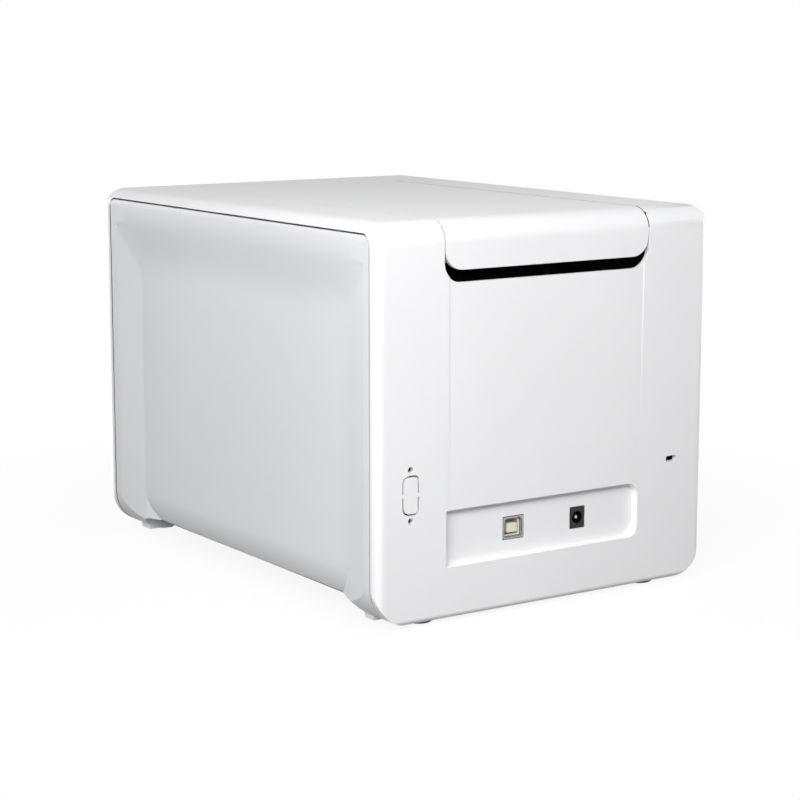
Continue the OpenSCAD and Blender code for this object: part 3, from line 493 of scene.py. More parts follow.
def outerForm(name, inset):
    # the machine's rounded block, or the hollow inside it
    low, high = bottomZ + inset, topZ - inset
    lower, upper = casing["bottomRadius"] - inset, casing["topRadius"] - inset
    form = roundSlab(
        name, "Y", (-halfWidth + inset, low), (halfWidth - inset, high),
        frontY - farPast, rearY + farPast, (lower, lower, upper, upper), 14)
    sideRadii = (
        casing["frontFootRadius"], casing["rearFootRadius"],
        casing["rearTopRadius"] - inset, casing["frontTopRadius"] - inset)
    keepWithin(form, roundSlab(
        "fromSide", "X", (frontY + inset, low), (rearY - inset, high), -0.12, 0.12, sideRadii, 12))
    if inset == 0:
        front, rear = casing["frontEdgeRadius"], casing["uprightRadius"]
        keepWithin(form, roundSlab(
            "fromTop", "Z", (-halfWidth, frontY), (halfWidth, rearY), -0.01, 0.22,
            (front, front, rear, rear), 8))
    return form


def slopeWalls(cutter, factor, middle):
    # narrows a cutter's deep end in the rear face
    setMode("EDIT")
    pickVerts(cutter, lambda co: co.y < rearY)
    bpy.ops.transform.resize(value=factor, center_override=middle)
    setMode("OBJECT")


def rearSlab(name, low, high, depth, radii, steps):
    # slab from inside the rear wall out past its face
    return roundSlab(name, "Y", low, high, rearY - depth, rearY + past, radii, steps)


shell = outerForm("casingShell", 0)
cutAway(shell, outerForm("hollow", casing["wall"]))
for near, far in bothSides(casing["lidOpening"], casing["ledgeOuter"]):
    addTo(shell, block(
        "ledge", (near, lidFrontY, topZ - 0.009), (far, rearY - casing["wall"], topZ - 0.0025)))
addTo(shell, block(
    "pocketBack", (pocket["backLow"][0], rearY - pocket["backDepth"], pocket["backLow"][1]),
    (pocket["backHigh"][0], rearY - 0.0025, pocket["backHigh"][1])))
windowSides = bothSides(halfWidth - 0.009, halfWidth + past)
footSides = bothSides(casing["footInner"], halfWidth - 0.0092)
for (near, far), (inner, outer) in zip(windowSides, footSides):
    cutAway(shell, roundSlab(
        "panelWindow", "X", (frontY + 0.004, -0.005), (rearY - 0.005, topZ - 0.0054),
        near, far, (0, 0, 0.007, 0.004), 10))
    # the feet are closed towards the arch
    for fromY, toY in ((frontY + 0.0180, frontY + 0.0355), (rearY - 0.0315, rearY - 0.0160)):
        addTo(shell, block("footEnd", (inner, fromY, bottomZ + 0.0006), (outer, toY, casing["footTop"])))
cutAway(shell, roundSlab(
    "arch", "X", (frontY + arch["front"], -past), (rearY - arch["rear"], bottomZ + arch["height"]),
    -0.11, 0.11, (0, 0, arch["radius"], arch["radius"]), 10))
cutAway(shell, block(
    "lidSpace", (-casing["lidOpening"], lidFrontY - 0.0006, topZ - 0.01),
    (casing["lidOpening"], rearY + past, topZ + past)))
cutAway(shell, rearSlab(
    "flapSpace", (-casing["lidOpening"], casing["slotZ"]), (casing["lidOpening"], topZ + past),
    casing["flapDepth"], (casing["flapRadius"], casing["flapRadius"], 0, 0), 12))
# recessed strip with sloped sides
stripCutter = block(
    "strip", (-strip["half"], rearY - strip["depth"], strip["low"]),
    (strip["half"], rearY + past, strip["high"]))
slopeWalls(stripCutter, (1 - strip["slope"] / strip["half"], 1, 1), (0, rearY, 0.1))
cutAway(shell, stripCutter)
# connector pocket: square towards +X, rounded towards -X, with drafted walls
pocketRadii = (pocket["round"], pocket["square"], pocket["square"], pocket["round"])
pocketCutter = rearSlab("pocket", pocket["low"], pocket["high"], pocket["depth"], pocketRadii, 8)
slopeWalls(pocketCutter, pocket["narrowing"], pocket["middle"])
cutAway(shell, pocketCutter)
cutAway(shell, block("usbOpening", (0.0116, rearY - 0.02, 0.0356), (0.0248, rearY, 0.0476)))
cutAway(shell, block("powerOpening", (-0.0271, rearY - 0.02, 0.0358), (-0.0173, rearY, 0.0472)))
cutAway(shell, rearSlab("lockOpening", (-0.0842, 0.0646), (-0.0772, 0.0676), 0.008, (0.001,) * 4, 4))
# serial knockout: a slit ring held by two bridges, and its two screw holes
slit = rearSlab("slit", knockout["low"], knockout["high"], 0.008, knockout["radii"], 6)
plugStart, plugStop = rearY - 0.009, rearY + 0.002
cutAway(slit, roundSlab(
    "plug", "Y", knockout["plugLow"], knockout["plugHigh"], plugStart, plugStop, knockout["plugRadii"], 6))
cutAway(slit, block(
    "bridges", (knockout["bridgeLow"][0], plugStart, knockout["bridgeLow"][1]),
    (knockout["bridgeHigh"][0], plugStop, knockout["bridgeHigh"][1])))
cutAway(shell, slit)
for height in knockout["screwZ"]:
    cutAway(shell, rodAlong(
        "screwHole", "Y", (knockout["screwX"], height), rearY - 0.012, rearY + past,
        knockout["screwRadius"], 24))
cutAway(shell, roundSlab(
    "frontOpening", "Y", (-0.0935, 0.011), (0.0935, 0.188), frontY - past, frontY + 0.009,
    (0.012, 0.012, 0.004, 0.004), 8))
cutAway(shell, block("underOpening", (-0.0785, frontY + 0.020, -past), (0.0785, rearY - 0.020, 0.006)))
# faces with openings in them stay split, so that the pocket floor keeps its shape
mergeClose(shell, dissolve=False)
softenEdges(shell, casing["edge"], 3, 38)
dress(shell, "chassis", "casing", "white_shell", "whiteShell")


def getsPaintedShade(face):
    # a face that gets the painted shade looks towards the machine's middle and lies a wall below the outside
    x, y, z = face.center
    away = (halfWidth - abs(x), min(y - frontY, rearY - y), min(z - bottomZ, topZ - z))
    inwards = face.normal.x * x + face.normal.y * (y - 0.016) + face.normal.z * (z - 0.1) < -0.004
    below = all(depth > 0.0025 or abs(turn) < 0.9 for depth, turn in zip(away, face.normal))
    inPocket = y > rearY - 0.0065 and abs(x) < 0.066 and 0.020 < z < 0.062
    overArch = z > bottomZ + arch["height"] + 0.001
    return inwards and below and min(away) > 0.0022 and not inPocket and overArch


# the inside of the moulding gets a near-black material: painted shade that stands in for the darkness inside
# the machine
shell.data.materials.append(finishes["paintedInsideShade"])
for face in shell.data.polygons:
    if getsPaintedShade(face):
        face.material_index = 1


pocketFloorY = rearY - 0.004
plugZ = 0.0415
socket = {
    "x": 0.0182,
    "shell": {"half": 0.0062, "low": 0.036, "high": 0.0472, "length": 0.016, "radius": 0.0008},
    "inside": {"half": 0.0055, "sheet": 0.0007, "depth": 0.0095, "radii": (0.0005, 0.0005, 0.0024, 0.0024)},
    "collar": {
        "half": 0.0053, "below": 0.0046, "above": 0.0048, "from": 0.0094, "to": 0.0022,
        "radii": (0.0004, 0.0004, 0.0023, 0.0023), "steps": 5},
    "collarInside": {
        "half": 0.0043, "below": 0.0038, "above": 0.0039, "from": 0.0085, "to": -past,
        "radii": (0.0003, 0.0003, 0.0018, 0.0018), "steps": 5},
    "tongue": {
        "half": 0.0031, "below": 0.0026, "above": 0.0020, "from": 0.0090, "to": 0.0012,
        "radii": (0.0003, 0.0003, 0.0008, 0.0008), "steps": 4},
}


def insertSlab(name, form):
    # slab about the plug's middle, its two ends measured inwards from the pocket's floor
    low = (socket["x"] - form["half"], plugZ - form["below"])
    high = (socket["x"] + form["half"], plugZ + form["above"])
    return roundSlab(
        name, "Y", low, high, pocketFloorY - form["from"], pocketFloorY - form["to"],
        form["radii"], form["steps"])


# folded sheet shell with rolled corners
outside, inside = socket["shell"], socket["inside"]
socketShell = roundSlab(
    "socketShell", "Y", (socket["x"] - outside["half"], outside["low"]),
    (socket["x"] + outside["half"], outside["high"]),
    pocketFloorY - outside["length"], pocketFloorY, (outside["radius"],) * 4, 6)
cutAway(socketShell, roundSlab(
    "socketInside", "Y", (socket["x"] - inside["half"], outside["low"] + inside["sheet"]),
    (socket["x"] + inside["half"], outside["high"] - inside["sheet"]),
    pocketFloorY - inside["depth"], pocketFloorY + past, inside["radii"], 5))
softenEdges(socketShell, 0.00018, 2, 30)
dress(socketShell, "chassis", "usb_socket", "steel", "steel")
# cream insert: a keyed collar around a tongue, with the plug's gap between them
collar = insertSlab("socketCollar", socket["collar"])
cutAway(collar, insertSlab("collarInside", socket["collarInside"]))
addTo(collar, insertSlab("tongue", socket["tongue"]))
softenEdges(collar, 0.00012, 2, 30)
dress(collar, "chassis", None, "gear_plastic", "gearPlastic")

# power inlet: black body, round mouth and a plated pin
inlet = {
    "x": -0.0222, "half": 0.0046, "low": 0.0361, "high": 0.0469, "length": 0.014, "corner": 0.0005,
    "mouth": 0.0032, "mouthDepth": 0.0095, "pinRadius": 0.001, "pinFrom": 0.0096, "pinTo": 0.0008,
}
inletBody = roundSlab(
    "inletBody", "Y", (inlet["x"] - inlet["half"], inlet["low"]), (inlet["x"] + inlet["half"], inlet["high"]),
    pocketFloorY - inlet["length"], pocketFloorY, (inlet["corner"],) * 4, 5)
cutAway(inletBody, rodAlong(
    "inletMouth", "Y", (inlet["x"], plugZ), pocketFloorY - inlet["mouthDepth"], pocketFloorY + past,
    inlet["mouth"], 40))
softenEdges(inletBody, 0.0002, 2, 30)
dress(inletBody, "chassis", "dc_inlet", "dark_plastic", "blackPlastic")
inletPin = rodAlong(
    "inletPin", "Y", (inlet["x"], plugZ), pocketFloorY - inlet["pinFrom"], pocketFloorY - inlet["pinTo"],
    inlet["pinRadius"], 20)
softenEdges(inletPin, 0.00035, 3, 40)
dress(inletPin, "chassis", None, "steel", "steel")


panel = {
    "gap": 0.0009, "skin": 0.002, "dish": 0.0045, "bevelRun": 0.023, "rim": 0.005, "topRim": 0.0105,
    "rollRadius": 0.030, "rollZ": 0.0265, "rollNarrowing": 0.150, "softWidth": 0.007,
    "lowerRadius": 0.020, "upperRadius": 0.0095, "footTop": 0.0125, "lowEdge": 0.0109, "fade": 0.012,
}
panelFrontY = frontY + 0.004 + panel["gap"]
panelRearY = rearY - 0.005 - panel["gap"]
panelTopZ = topZ - 0.0054 - panel["gap"]
fieldX = halfWidth - panel["dish"]
rollX = fieldX - panel["rollRadius"]
# the dish's outer lines; its bevels run from here down to the field
dish = {
    "outX": halfWidth + 0.0002,
    "frontY": panelFrontY + panel["rim"],
    "rearY": panelRearY - panel["rim"] + 0.0015,
    "topZ": panelTopZ - panel["topRim"] + panel["gap"],
}


def dishCutter(name):
    # what is hollowed out of the panel: bevels at front, rear and top, a roll at the bottom
    y0, y1, z1, outX = dish["frontY"], dish["rearY"], dish["topZ"], dish["outX"]
    run = panel["bevelRun"]
    length = y1 - y0 - 2 * run
    middle = (y0 + y1) / 2
    clearSelection()
    bpy.ops.mesh.primitive_plane_add(size=1, location=((rollX + fieldX) / 2, (y0 + y1) / 2, -0.01))
    cutter = bpy.context.object
    cutter.name = name
    cutter.scale = (fieldX - rollX, length, 1)
    bpy.ops.object.transform_apply(location=True, rotation=True, scale=True)
    setMode("EDIT")
    pickVerts(cutter, lambda co: isAt(co.x, rollX))
    narrowing = (length - panel["rollNarrowing"]) / length
    bpy.ops.transform.resize(value=(1, narrowing, 1), center_override=(rollX, middle, 0))
    pickVerts(cutter, lambda co: isAt(co.x, fieldX))
    extrudeBy(outX - fieldX, 0, 0)
    bpy.ops.transform.resize(value=(1, (y1 - y0) / length, 1), center_override=(outX, middle, 0))
    bpy.ops.mesh.select_all(action="SELECT")
    extrudeBy(0, 0, z1 + 0.01)
    pointNormalsOut()
    # top bevel
    bpy.ops.mesh.select_all(action="SELECT")
    slope = Vector((-run, 0, outX - fieldX)).normalized()
    bpy.ops.mesh.bisect(plane_co=(outX, middle, z1), plane_no=slope, use_fill=True, clear_outer=True)
    setMode("OBJECT")
    # roll at the bottom
    start, stop = y0 - farPast, y1 + farPast
    cutAway(cutter, block("aboveRoll", (rollX - 0.002, start, panel["rollZ"]), (fieldX, stop, z1 + farPast)))
    cutAway(cutter, rodAlong("roll", "Y", (rollX, panel["rollZ"]), start, stop, panel["rollRadius"], 96))
    mergeClose(cutter)
    return cutter


def onSoftLine(middle, way):
    # the field's top and rear lines, and the slanted line where two bevels meet
    run = panel["bevelRun"]
    z1 = dish["topZ"]
    onField = isAt(middle.x, fieldX, 1e-5)
    topInner = onField and isAt(middle.z, z1 - run, 0.0006) and abs(way.y) > 0.9
    rearInner = onField and isAt(middle.y, dish["rearY"] - run, 0.0006) and abs(way.z) > 0.9
    rearInner = rearInner and middle.z > panel["rollZ"]
    slanted = abs(way.z) > 0.3 and abs(way.y) > 0.3
    mitre = slanted and middle.x > fieldX + 0.001 and z1 - run < middle.z < z1
    return topInner or rearInner or mitre


def fadingArc(name, axis, line, toward, reach, span, angle):
    # what a wide arc takes off a ridge between rim and bevel; it fades out at both ends
    radius = reach / math.tan(angle / 2) * 0.998
    low, high = line - reach, line + reach
    inX, outX = halfWidth - 0.003, halfWidth + past
    if axis == "Y":
        arc = block(name, (inX, span[0], low), (outX, span[1], high))
    else:
        arc = block(name, (inX, low, span[0]), (outX, high, span[1]))
    cutAway(arc, rodAlong(
        "arcBody", axis, (halfWidth - radius, line + toward * reach), span[0] - farPast, span[1] + farPast,
        radius, 360))
    way = Vector((0, 1, 0)) if axis == "Y" else Vector((0, 0, 1))
    makeActive(arc)
    setMode("EDIT")
    for place in (span[0] + panel["fade"], span[1] - panel["fade"]):
        bpy.ops.mesh.select_all(action="SELECT")
        bpy.ops.mesh.bisect(plane_co=way * place, plane_no=way)
    pickVerts(arc, lambda co: min(abs(co.dot(way) - span[0]), abs(co.dot(way) - span[1])) < 1e-5)
    bpy.ops.transform.translate(value=(0.0006, 0, 0))
    setMode("OBJECT")
    return arc


def panelForm(name):
    # the casing's outline over the panel's length
    radii = (panel["lowerRadius"], panel["lowerRadius"], panel["upperRadius"], panel["upperRadius"])
    return roundSlab(name, "Y", (-halfWidth, bottomZ), (halfWidth, topZ), panelFrontY, panelRearY, radii, 14)


def sideSkin(name):
    # rounded outer skin, then its lower roll, then the dish
    skin = panelForm(name)
    inner = panel["dish"] + panel["skin"]
    cutAway(skin, roundSlab(
        "inner", "Y", (-halfWidth + inner, bottomZ + inner), (halfWidth - inner, topZ - inner),
        panelFrontY - farPast, panelRearY + farPast, (0.0135, 0.0135, 0.003, 0.003), 12))
    window = roundSlab(
        "window", "X", (panelFrontY, bottomZ + 0.0008), (panelRearY, panelTopZ),
        halfWidth - 0.0087, halfWidth + past, (0.007, 0.003, 0.0064, 0.0034), 10)
    # solid over the feet
    for fromY, toY in ((frontY + 0.0080, frontY + 0.0355), (rearY - 0.0315, rearY - 0.0080)):
        foot = block(
            "footSide", (halfWidth - 0.0125, fromY, bottomZ - past),
            (halfWidth + past, toY, panel["footTop"]))
        keepWithin(foot, panelForm("footForm"))
        addTo(skin, foot)
    keepWithin(skin, window)
    axisAt = (rollX, panel["rollZ"])
    roll = rodAlong(
        "rollOuter", "Y", axisAt, panelFrontY + 0.0002, panelRearY - 0.0002, panel["rollRadius"], 96)
    cutAway(roll, rodAlong(
        "rollInner", "Y", axisAt, frontY - farPast, rearY + farPast, panel["rollRadius"] - panel["skin"], 96))
    cutAway(roll, block("rollLeft", (rollX - 0.04, frontY, -0.02), (fieldX - 0.0075, rearY, 0.08)))
    cutAway(roll, block("rollUpper", (rollX, frontY, panel["rollZ"] + 0.0005), (halfWidth, rearY, 0.08)))
    cutAway(roll, block("rollLower", (rollX, frontY, -0.02), (halfWidth, rearY, panel["lowEdge"])))
    addTo(skin, roll)
    addTo(skin, block(
        "sill", (0.0788, panelFrontY + 0.004, panel["lowEdge"]),
        (fieldX - 0.0050, panelRearY - 0.004, 0.0127)))
    cutter = dishCutter("dishCutter")
    makeActive(cutter)
    setMode("EDIT")
    pickEdges(cutter, onSoftLine)
    bpy.ops.mesh.bevel(offset=panel["softWidth"], segments=8, profile=0.5, affect="EDGES", clamp_overlap=True)
    setMode("OBJECT")
    cutAway(skin, cutter)
    cutAway(skin, roundSlab(
        "panelArch", "X", (frontY + arch["front"], -past), (rearY - arch["rear"], 0.0108),
        0.070, halfWidth + 0.002, (0, 0, arch["radius"], arch["radius"]), 10))
    # the dish's outer lines are eased by wide arcs that touch rim and bevel
    y0, y1, z1 = dish["frontY"], dish["rearY"], dish["topZ"]
    angle = math.atan((dish["outX"] - fieldX) / panel["bevelRun"])
    shift = 0.0002 / (dish["outX"] - fieldX) * panel["bevelRun"]
    upright = (0.012, z1 - 0.002)
    cutAway(skin, fadingArc("topArc", "Y", z1 - shift, 1, 0.0050, (y0 + 0.001, y1 - 0.001), angle))
    cutAway(skin, fadingArc("frontArc", "Z", y0 + shift, -1, 0.0022, upright, angle))
    cutAway(skin, fadingArc("rearArc", "Z", y1 - shift, 1, 0.0019, upright, angle))
    mergeClose(skin)
    # the dish's bevels stand only eleven degrees off the field
    softenEdges(skin, 0.0004, 2, 30, 8)
    return skin


def mirrorPiece(source, name):
    # the same piece on the other side, with its own mesh and nothing said about it yet
    copy = source.copy()
    copy.data = source.data.copy()
    copy.name = name
    copy.parent = None
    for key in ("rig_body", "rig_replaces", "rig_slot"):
        if key in copy:
            del copy[key]
    bpy.context.collection.objects.link(copy)
    makeActive(copy)
    copy.scale = (-1, 1, 1)
    bpy.ops.object.transform_apply(location=False, rotation=False, scale=True)
    setMode("EDIT")
    pointNormalsOut()
    setMode("OBJECT")
    return copy


rightPanel = sideSkin("rightPanel")
dress(rightPanel, "chassis", "right_panel", "grey_panel", "greyPanel")
leftPanel = mirrorPiece(rightPanel, "leftPanel")
dress(leftPanel, "chassis", "left_panel", "grey_panel", "greyPanel")


lid = {
    "half": 0.0626, "skin": 0.0025, "flapRadius": 0.010, "flapDepth": 0.006,
    "hingeY": 0.1445, "hingeZ": 0.184, "earInner": 0.0566, "earRadius": 0.0065, "pinRadius": 0.00305,
    "pinInner": 0.050, "pinOuter": 0.0622999, "edge": 0.0007,
}
lidCover = outerForm("lidCover", 0)
lidForm = block("lidForm", (-lid["half"], lidFrontY, topZ - 0.008), (lid["half"], rearY + past, topZ + past))
addTo(lidForm, rearSlab(
    "flapForm", (-lid["half"], flapZ), (lid["half"], topZ + 0.0005), lid["flapDepth"],
    (lid["flapRadius"], lid["flapRadius"], 0, 0), 12))
keepWithin(lidCover, lidForm)
cutAway(lidCover, roundSlab(
    "lidHollow", "X", (lidFrontY + lid["skin"], 0.1), (rearY - lid["skin"], topZ - lid["skin"]),
    -lid["half"] + lid["skin"], lid["half"] - lid["skin"], (0, 0, 0.009, 0.0008), 12))
hingeAt = (lid["hingeY"], lid["hingeZ"])
for near, far in bothSides(lid["earInner"], lid["half"] - 0.0003):
    ear = rodAlong("ear", "X", hingeAt, near, far, lid["earRadius"], 48)
    addTo(ear, block(
        "earRoot", (near, lid["hingeY"] - lid["earRadius"], lid["hingeZ"]),
        (far, lid["hingeY"] + 0.0035, topZ - lid["skin"] + 0.0001)))
    addTo(lidCover, ear)
for near, far in bothSides(lid["pinInner"], lid["pinOuter"]):
    cutAway(lidCover, rodAlong("pinHole", "X", hingeAt, near - past, far + 0.0002, lid["pinRadius"], 40))
mergeClose(lidCover)
softenEdges(lidCover, lid["edge"], 3, 38)
dress(lidCover, "lid", "lid_cover", "white_shell", "whiteShell")


fascia = {
    "low": (-0.0931, 0.0114), "high": (0.0931, 0.1876), "faceY": frontY + 0.0006, "backY": frontY + 0.0036,
    "radii": (0.0116, 0.0116, 0.0036, 0.0036), "postRadius": 0.003, "edge": 0.0005,
}
door = {
    "low": (-0.0376, 0.1164), "high": (0.0376, 0.1436), "backY": frontY + 0.003, "corner": 0.001,
    "hingeAt": (frontY + 0.0032, 0.1182), "pinRadius": 0.0009, "barrelRadius": 0.0019, "holeRadius": 0.00095,
    "lipHalf": 0.012, "lipZ": (0.1386, 0.1406), "lipRadius": 0.0012,
}
button = {
    "x": 0.066, "z": 0.150, "radius": 0.008, "hole": 0.0084, "rim": 0.0016, "hollow": 0.0005, "stem": 0.0032,
}


def faceOpening(name, low, high):
    return block(name, (low[0], frontY - past, low[1]), (high[0], frontY + 0.008, high[1]))


frontFascia = roundSlab(
    "frontFascia", "Y", fascia["low"], fascia["high"], fascia["faceY"], fascia["backY"], fascia["radii"], 10)
cutAway(frontFascia, faceOpening("doorSpace", (-0.038, 0.1146), (0.038, 0.144)))
cutAway(frontFascia, faceOpening("mouth", (-0.033, 0.034), (0.033, 0.074)))
cutAway(frontFascia, rodAlong(
    "buttonSpace", "Y", (button["x"], button["z"]), frontY - past, frontY + 0.008, button["hole"], 56))
cutAway(frontFascia, faceOpening("lightSpace", (0.059, 0.1278), (0.073, 0.1322)))
for (near, far), (pinNear, pinFar) in zip(bothSides(0.0381, 0.0405), bothSides(0.031, 0.0383)):
    addTo(frontFascia, block("pinBlock", (near, frontY + 0.001, 0.1152), (far, frontY + 0.006, 0.1212)))
    addTo(frontFascia, rodAlong("doorPin", "X", door["hingeAt"], pinNear, pinFar, door["pinRadius"], 20))
for across in (button["x"] - 0.016, button["x"] + 0.016):
    for height in (button["z"] - 0.028, button["z"] + 0.018):
        addTo(frontFascia, rodAlong(
            "boardPost", "Y", (across, height), frontY + 0.0035, frontY + 0.0116, fascia["postRadius"], 28))
mergeClose(frontFascia)
softenEdges(frontFascia, fascia["edge"], 3, 38)
dress(frontFascia, "chassis", "front_fascia", "grey_panel", "greyPanel")

feederDoor = roundSlab(
    "feederDoor", "Y", door["low"], door["high"], fascia["faceY"], door["backY"], (door["corner"],) * 4, 4)
# finger lip at the top
lip = roundSlab(
    "lip", "Z", (-door["lipHalf"], frontY - 0.002), (door["lipHalf"], frontY + 0.001), *door["lipZ"],
    (door["lipRadius"], door["lipRadius"], 0, 0), 6)
addTo(feederDoor, lip)
for (near, far), (holeNear, holeFar) in zip(bothSides(0.030, 0.0374), bothSides(0.029, 0.039)):
    addTo(feederDoor, rodAlong("barrel", "X", door["hingeAt"], near, far, door["barrelRadius"], 28))
    cutAway(feederDoor, rodAlong(
        "barrelHole", "X", door["hingeAt"], holeNear, holeFar, door["holeRadius"], 20))
mergeClose(feederDoor)
softenEdges(feederDoor, 0.0003, 2, 38)
dress(feederDoor, "feeder_door", "feeder_door", "grey_panel", "greyPanel")

controlButton = rodAlong(
    "controlButton", "Y", (button["x"], button["z"]), frontY - 0.0004, frontY + 0.006, button["radius"], 56)
setMode("EDIT")
pickFaces(controlButton, lambda middle, normal: normal.y < -0.9)
bpy.ops.mesh.inset(thickness=button["rim"])
bpy.ops.transform.translate(value=(0, button["hollow"], 0))
pickFaces(controlButton, lambda middle, normal: normal.y > 0.9)
bpy.ops.mesh.inset(thickness=0.005)
extrudeBy(0, button["stem"], 0)
setMode("OBJECT")
softenEdges(controlButton, 0.0003, 3, 38)
dress(controlButton, "control_button", "control_button", "grey_panel", "greyPlastic")

tray = {
    "reach": 0.032, "low": (-0.0326, 0.0344), "high": (0.0326, 0.0504), "wall": 0.0025,
    "hollowLow": (-0.030, 0.037), "hollowHigh": (0.030, 0.0544), "notchHalf": 0.013, "notchDepth": 0.012,
    "stopY": 0.016, "stopZ": 0.039, "earZ": (0.0369, 0.0408), "pinHalf": 0.0095, "pinRadius": 0.00075,
}
trayFront = frontY - tray["reach"]
outputTray = roundSlab(
    "outputTray", "Y", tray["low"], tray["high"], trayFront, frontY + 0.026, (0.004, 0.004, 0.001, 0.001), 8)
cutAway(outputTray, roundSlab(
    "trayHollow", "Y", tray["hollowLow"], tray["hollowHigh"], trayFront + tray["wall"], frontY + 0.027,
    (0.002, 0.002, 0, 0), 6))
cutAway(outputTray, block(
    "notch", (-tray["notchHalf"], trayFront - past, 0.0334),
    (tray["notchHalf"], trayFront + tray["notchDepth"], 0.0544)))
for near, far in bothSides(0.0094, 0.012):
    addTo(outputTray, block(
        "stopEar", (near, trayFront + 0.014, tray["earZ"][0]), (far, trayFront + 0.018, tray["earZ"][1])))
addTo(outputTray, rodAlong(
    "stopPin", "X", (trayFront + tray["stopY"], tray["stopZ"]), -tray["pinHalf"], tray["pinHalf"],
    tray["pinRadius"], 20))
mergeClose(outputTray)
softenEdges(outputTray, 0.0005, 3, 38)
dress(outputTray, "chassis", "output_tray", "dark_plastic", "darkPlastic")


# the frame's own nodes that stay in sight, by finish
nodesByFinish = {
    "greyPlastic": (
        "base_pan", "card_guide", "exit_chute", "lid_liner", "tray_stop", "gauge_lever", "divert_gate"),
    "darkPlastic": ("edge_guides", "hopper", "takeup_spool", "supply_spool"),
    "blackPlastic": ("main_motor", "pick_motor", "ribbon_motor"),
    "gearPlastic": (
        "feed_gear", "platen_gear", "back_gear", "front_idler", "rear_idler", "reduction_gear", "pick_gear",
        "takeup_gear"),
    "paleRubber": ("rubber_feet",),
    "rubber": ("feed_roller", "platen_roller", "back_roller", "pinch_roller", "pick_roller"),
    "cleaningRubber": ("cleaning_roller",),
    "steel": ("tie_bars", "hinge_pins", "case_screws", "lid_magnets", "head_springs"),
    "plateSteel": ("chassis_right", "chassis_left", "lock_plate"),
    "aluminium": ("head_carrier", "heat_sink", "card_pusher"),
    "brass": ("bushes", "main_pinion", "pick_pinion", "ribbon_pinion"),
    "circuitBoard": ("main_board", "front_board"),
    "lightPipe": ("light_pipe",),
    "ribbonFilm": ("ribbon_film",),
    "ceramic": ("print_head",),
}
for finish, nodes in nodesByFinish.items():
    for node in nodes:
        carried = bpy.data.objects[node]
        carried.data.materials.clear()
        carried.data.materials.append(finishes[finish])
print("carried nodes finished", sum(len(nodes) for nodes in nodesByFinish.values()))


def linkAll(tree, pairs):
    # each pair is an output and the input that it feeds
    for source, target in pairs:
        tree.links.new(source, target)


def directRays(tree):
    # two outputs: 1 on rays from the camera alone, and 1 on those from mirrors and glass as well
    path = addNode(tree, "ShaderNodeLightPath")
    mirrored = addNode(tree, "ShaderNodeMath", operation="MAXIMUM")
    seen = addNode(tree, "ShaderNodeMath", operation="MAXIMUM")
    linkAll(tree, (
        (path.outputs["Is Glossy Ray"], mirrored.inputs[0]),
        (path.outputs["Is Transmission Ray"], mirrored.inputs[1]),
        (path.outputs["Is Camera Ray"], seen.inputs[0]),
        (mirrored.outputs["Value"], seen.inputs[1]),
    ))
    return path.outputs["Is Camera Ray"], seen.outputs["Value"]


stage = {
    "floorSize": 14, "bounceTone": (0.3, 0.3, 0.303, 1), "seenTone": (0.92, 0.92, 0.92, 1),
    "fadeFrom": 0.16, "fadeTo": 0.42, "fadeLeast": 0.9,
    "worldTone": (0.95, 0.97, 1.0, 1), "worldStrength": 0.1, "lens": 97.26, "sensor": 36,
    "turn": 33.933, "tilt": 9.784, "place": (0.6498, 0.9889, 0.2864),
}
white = (1, 1, 1, 1)
clearSelection()
bpy.ops.mesh.primitive_plane_add(size=stage["floorSize"], location=(0, 0, 0))
floor = bpy.context.object
floor.name = "floor"
paper, paperTree, paperShader = newMaterial("floorPaper")
setInputs(paperShader, {"Roughness": 0.9, "Specular IOR Level": 0.1})
# the camera and mirrors see a white paper with only the object's soft shadow left on it
fromCamera, seen = directRays(paperTree)
glow = addNode(paperTree, "ShaderNodeEmission")
setInputs(glow, {"Color": white, "Strength": 1})
paperMix = addNode(paperTree, "ShaderNodeMixShader")
# the paper turns fully white away from the object, so no horizon shows
partly = addNode(paperTree, "ShaderNodeMath", operation="MULTIPLY")
floorPlace = addNode(paperTree, "ShaderNodeTexCoord")
fromMiddle = addNode(paperTree, "ShaderNodeVectorMath", operation="LENGTH")
fadeOut = addNode(paperTree, "ShaderNodeMapRange", interpolation_type="SMOOTHSTEP")
setInputs(fadeOut, {
    "From Min": stage["fadeFrom"], "From Max": stage["fadeTo"], "To Min": stage["fadeLeast"], "To Max": 1})
paperTone = addNode(paperTree, "ShaderNodeMix", data_type="RGBA")
setInputs(paperTone, {"A": stage["bounceTone"], "B": stage["seenTone"]})
linkAll(paperTree, (
    (fromCamera, paperTone.inputs["Factor"]),
    (paperTone.outputs["Result"], paperShader.inputs["Base Color"]),
    (floorPlace.outputs["Object"], fromMiddle.inputs[0]),
    (fromMiddle.outputs["Value"], fadeOut.inputs["Value"]),
    (fadeOut.outputs["Result"], partly.inputs[1]),
    (seen, partly.inputs[0]),
    (partly.outputs["Value"], paperMix.inputs["Fac"]),
    (paperShader.outputs["BSDF"], paperMix.inputs[1]),
    (glow.outputs["Emission"], paperMix.inputs[2]),
    (paperMix.outputs["Shader"], paperTree.nodes["Material Output"].inputs["Surface"]),
))
floor.data.materials.append(paper)

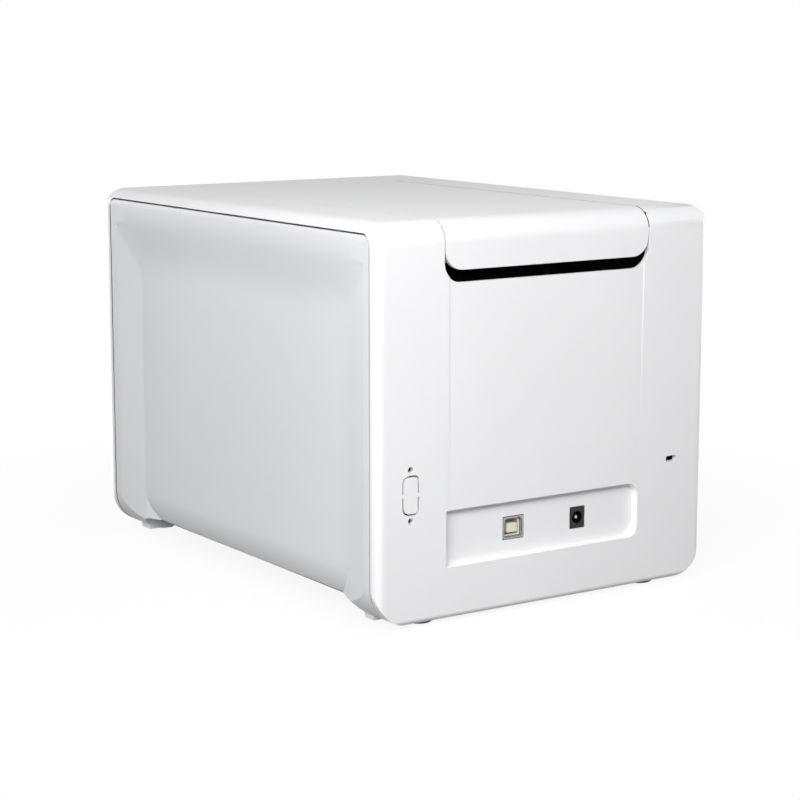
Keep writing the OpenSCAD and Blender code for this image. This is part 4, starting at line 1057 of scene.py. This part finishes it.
world = bpy.context.scene.world or bpy.data.worlds.new("studio")
bpy.context.scene.world = world
world.use_nodes = True
worldTree = world.node_tree
worldTree.nodes.clear()
soft = addNode(worldTree, "ShaderNodeBackground")
setInputs(soft, {"Color": stage["worldTone"], "Strength": stage["worldStrength"]})
plainWhite = addNode(worldTree, "ShaderNodeBackground")
setInputs(plainWhite, {"Color": white, "Strength": 1})
worldMix = addNode(worldTree, "ShaderNodeMixShader")
worldOut = addNode(worldTree, "ShaderNodeOutputWorld")
linkAll(worldTree, (
    (directRays(worldTree)[1], worldMix.inputs["Fac"]),
    (soft.outputs["Background"], worldMix.inputs[1]),
    (plainWhite.outputs["Background"], worldMix.inputs[2]),
    (worldMix.outputs["Shader"], worldOut.inputs["Surface"]),
))


def softLamp(name, place, aim, size, power):
    clearSelection()
    bpy.ops.object.light_add(type="AREA", location=place)
    lamp = bpy.context.object
    lamp.name = name
    lamp.data.shape = "RECTANGLE"
    lamp.data.size, lamp.data.size_y = size
    lamp.data.energy = power
    lamp.rotation_euler = (Vector(aim) - Vector(place)).to_track_quat("-Z", "Y").to_euler()


softLamp("sideLamp", (0.80, 0.62, 0.50), (0, 0.05, 0.1), (0.4, 0.4), 4.3)
softLamp("rearLamp", (0.40, 0.66, 0.62), (0, 0.05, 0.1), (1.3, 0.15), 7.2)
# the front and the far side get their own soft light
softLamp("frontLamp", (0.10, -1.45, 0.28), (0, 0, 0.1), (0.9, 0.35), 11)
softLamp("farSideLamp", (-1.45, 0.02, 0.28), (0, 0, 0.1), (0.9, 0.35), 11)

cameraData = bpy.data.cameras.new("camera")
camera = bpy.data.objects.new("camera", cameraData)
bpy.context.collection.objects.link(camera)
cameraData.lens = stage["lens"]
cameraData.sensor_width = stage["sensor"]
cameraData.clip_end = 40
camera.location = stage["place"]
turn, tilt = math.radians(stage["turn"]), math.radians(stage["tilt"])
view = Vector((-math.sin(turn) * math.cos(tilt), -math.cos(turn) * math.cos(tilt), -math.sin(tilt)))
camera.rotation_euler = view.to_track_quat("-Z", "Y").to_euler()
bpy.context.scene.camera = camera
bpy.context.scene.view_settings.view_transform = "Standard"
print("stage ready")
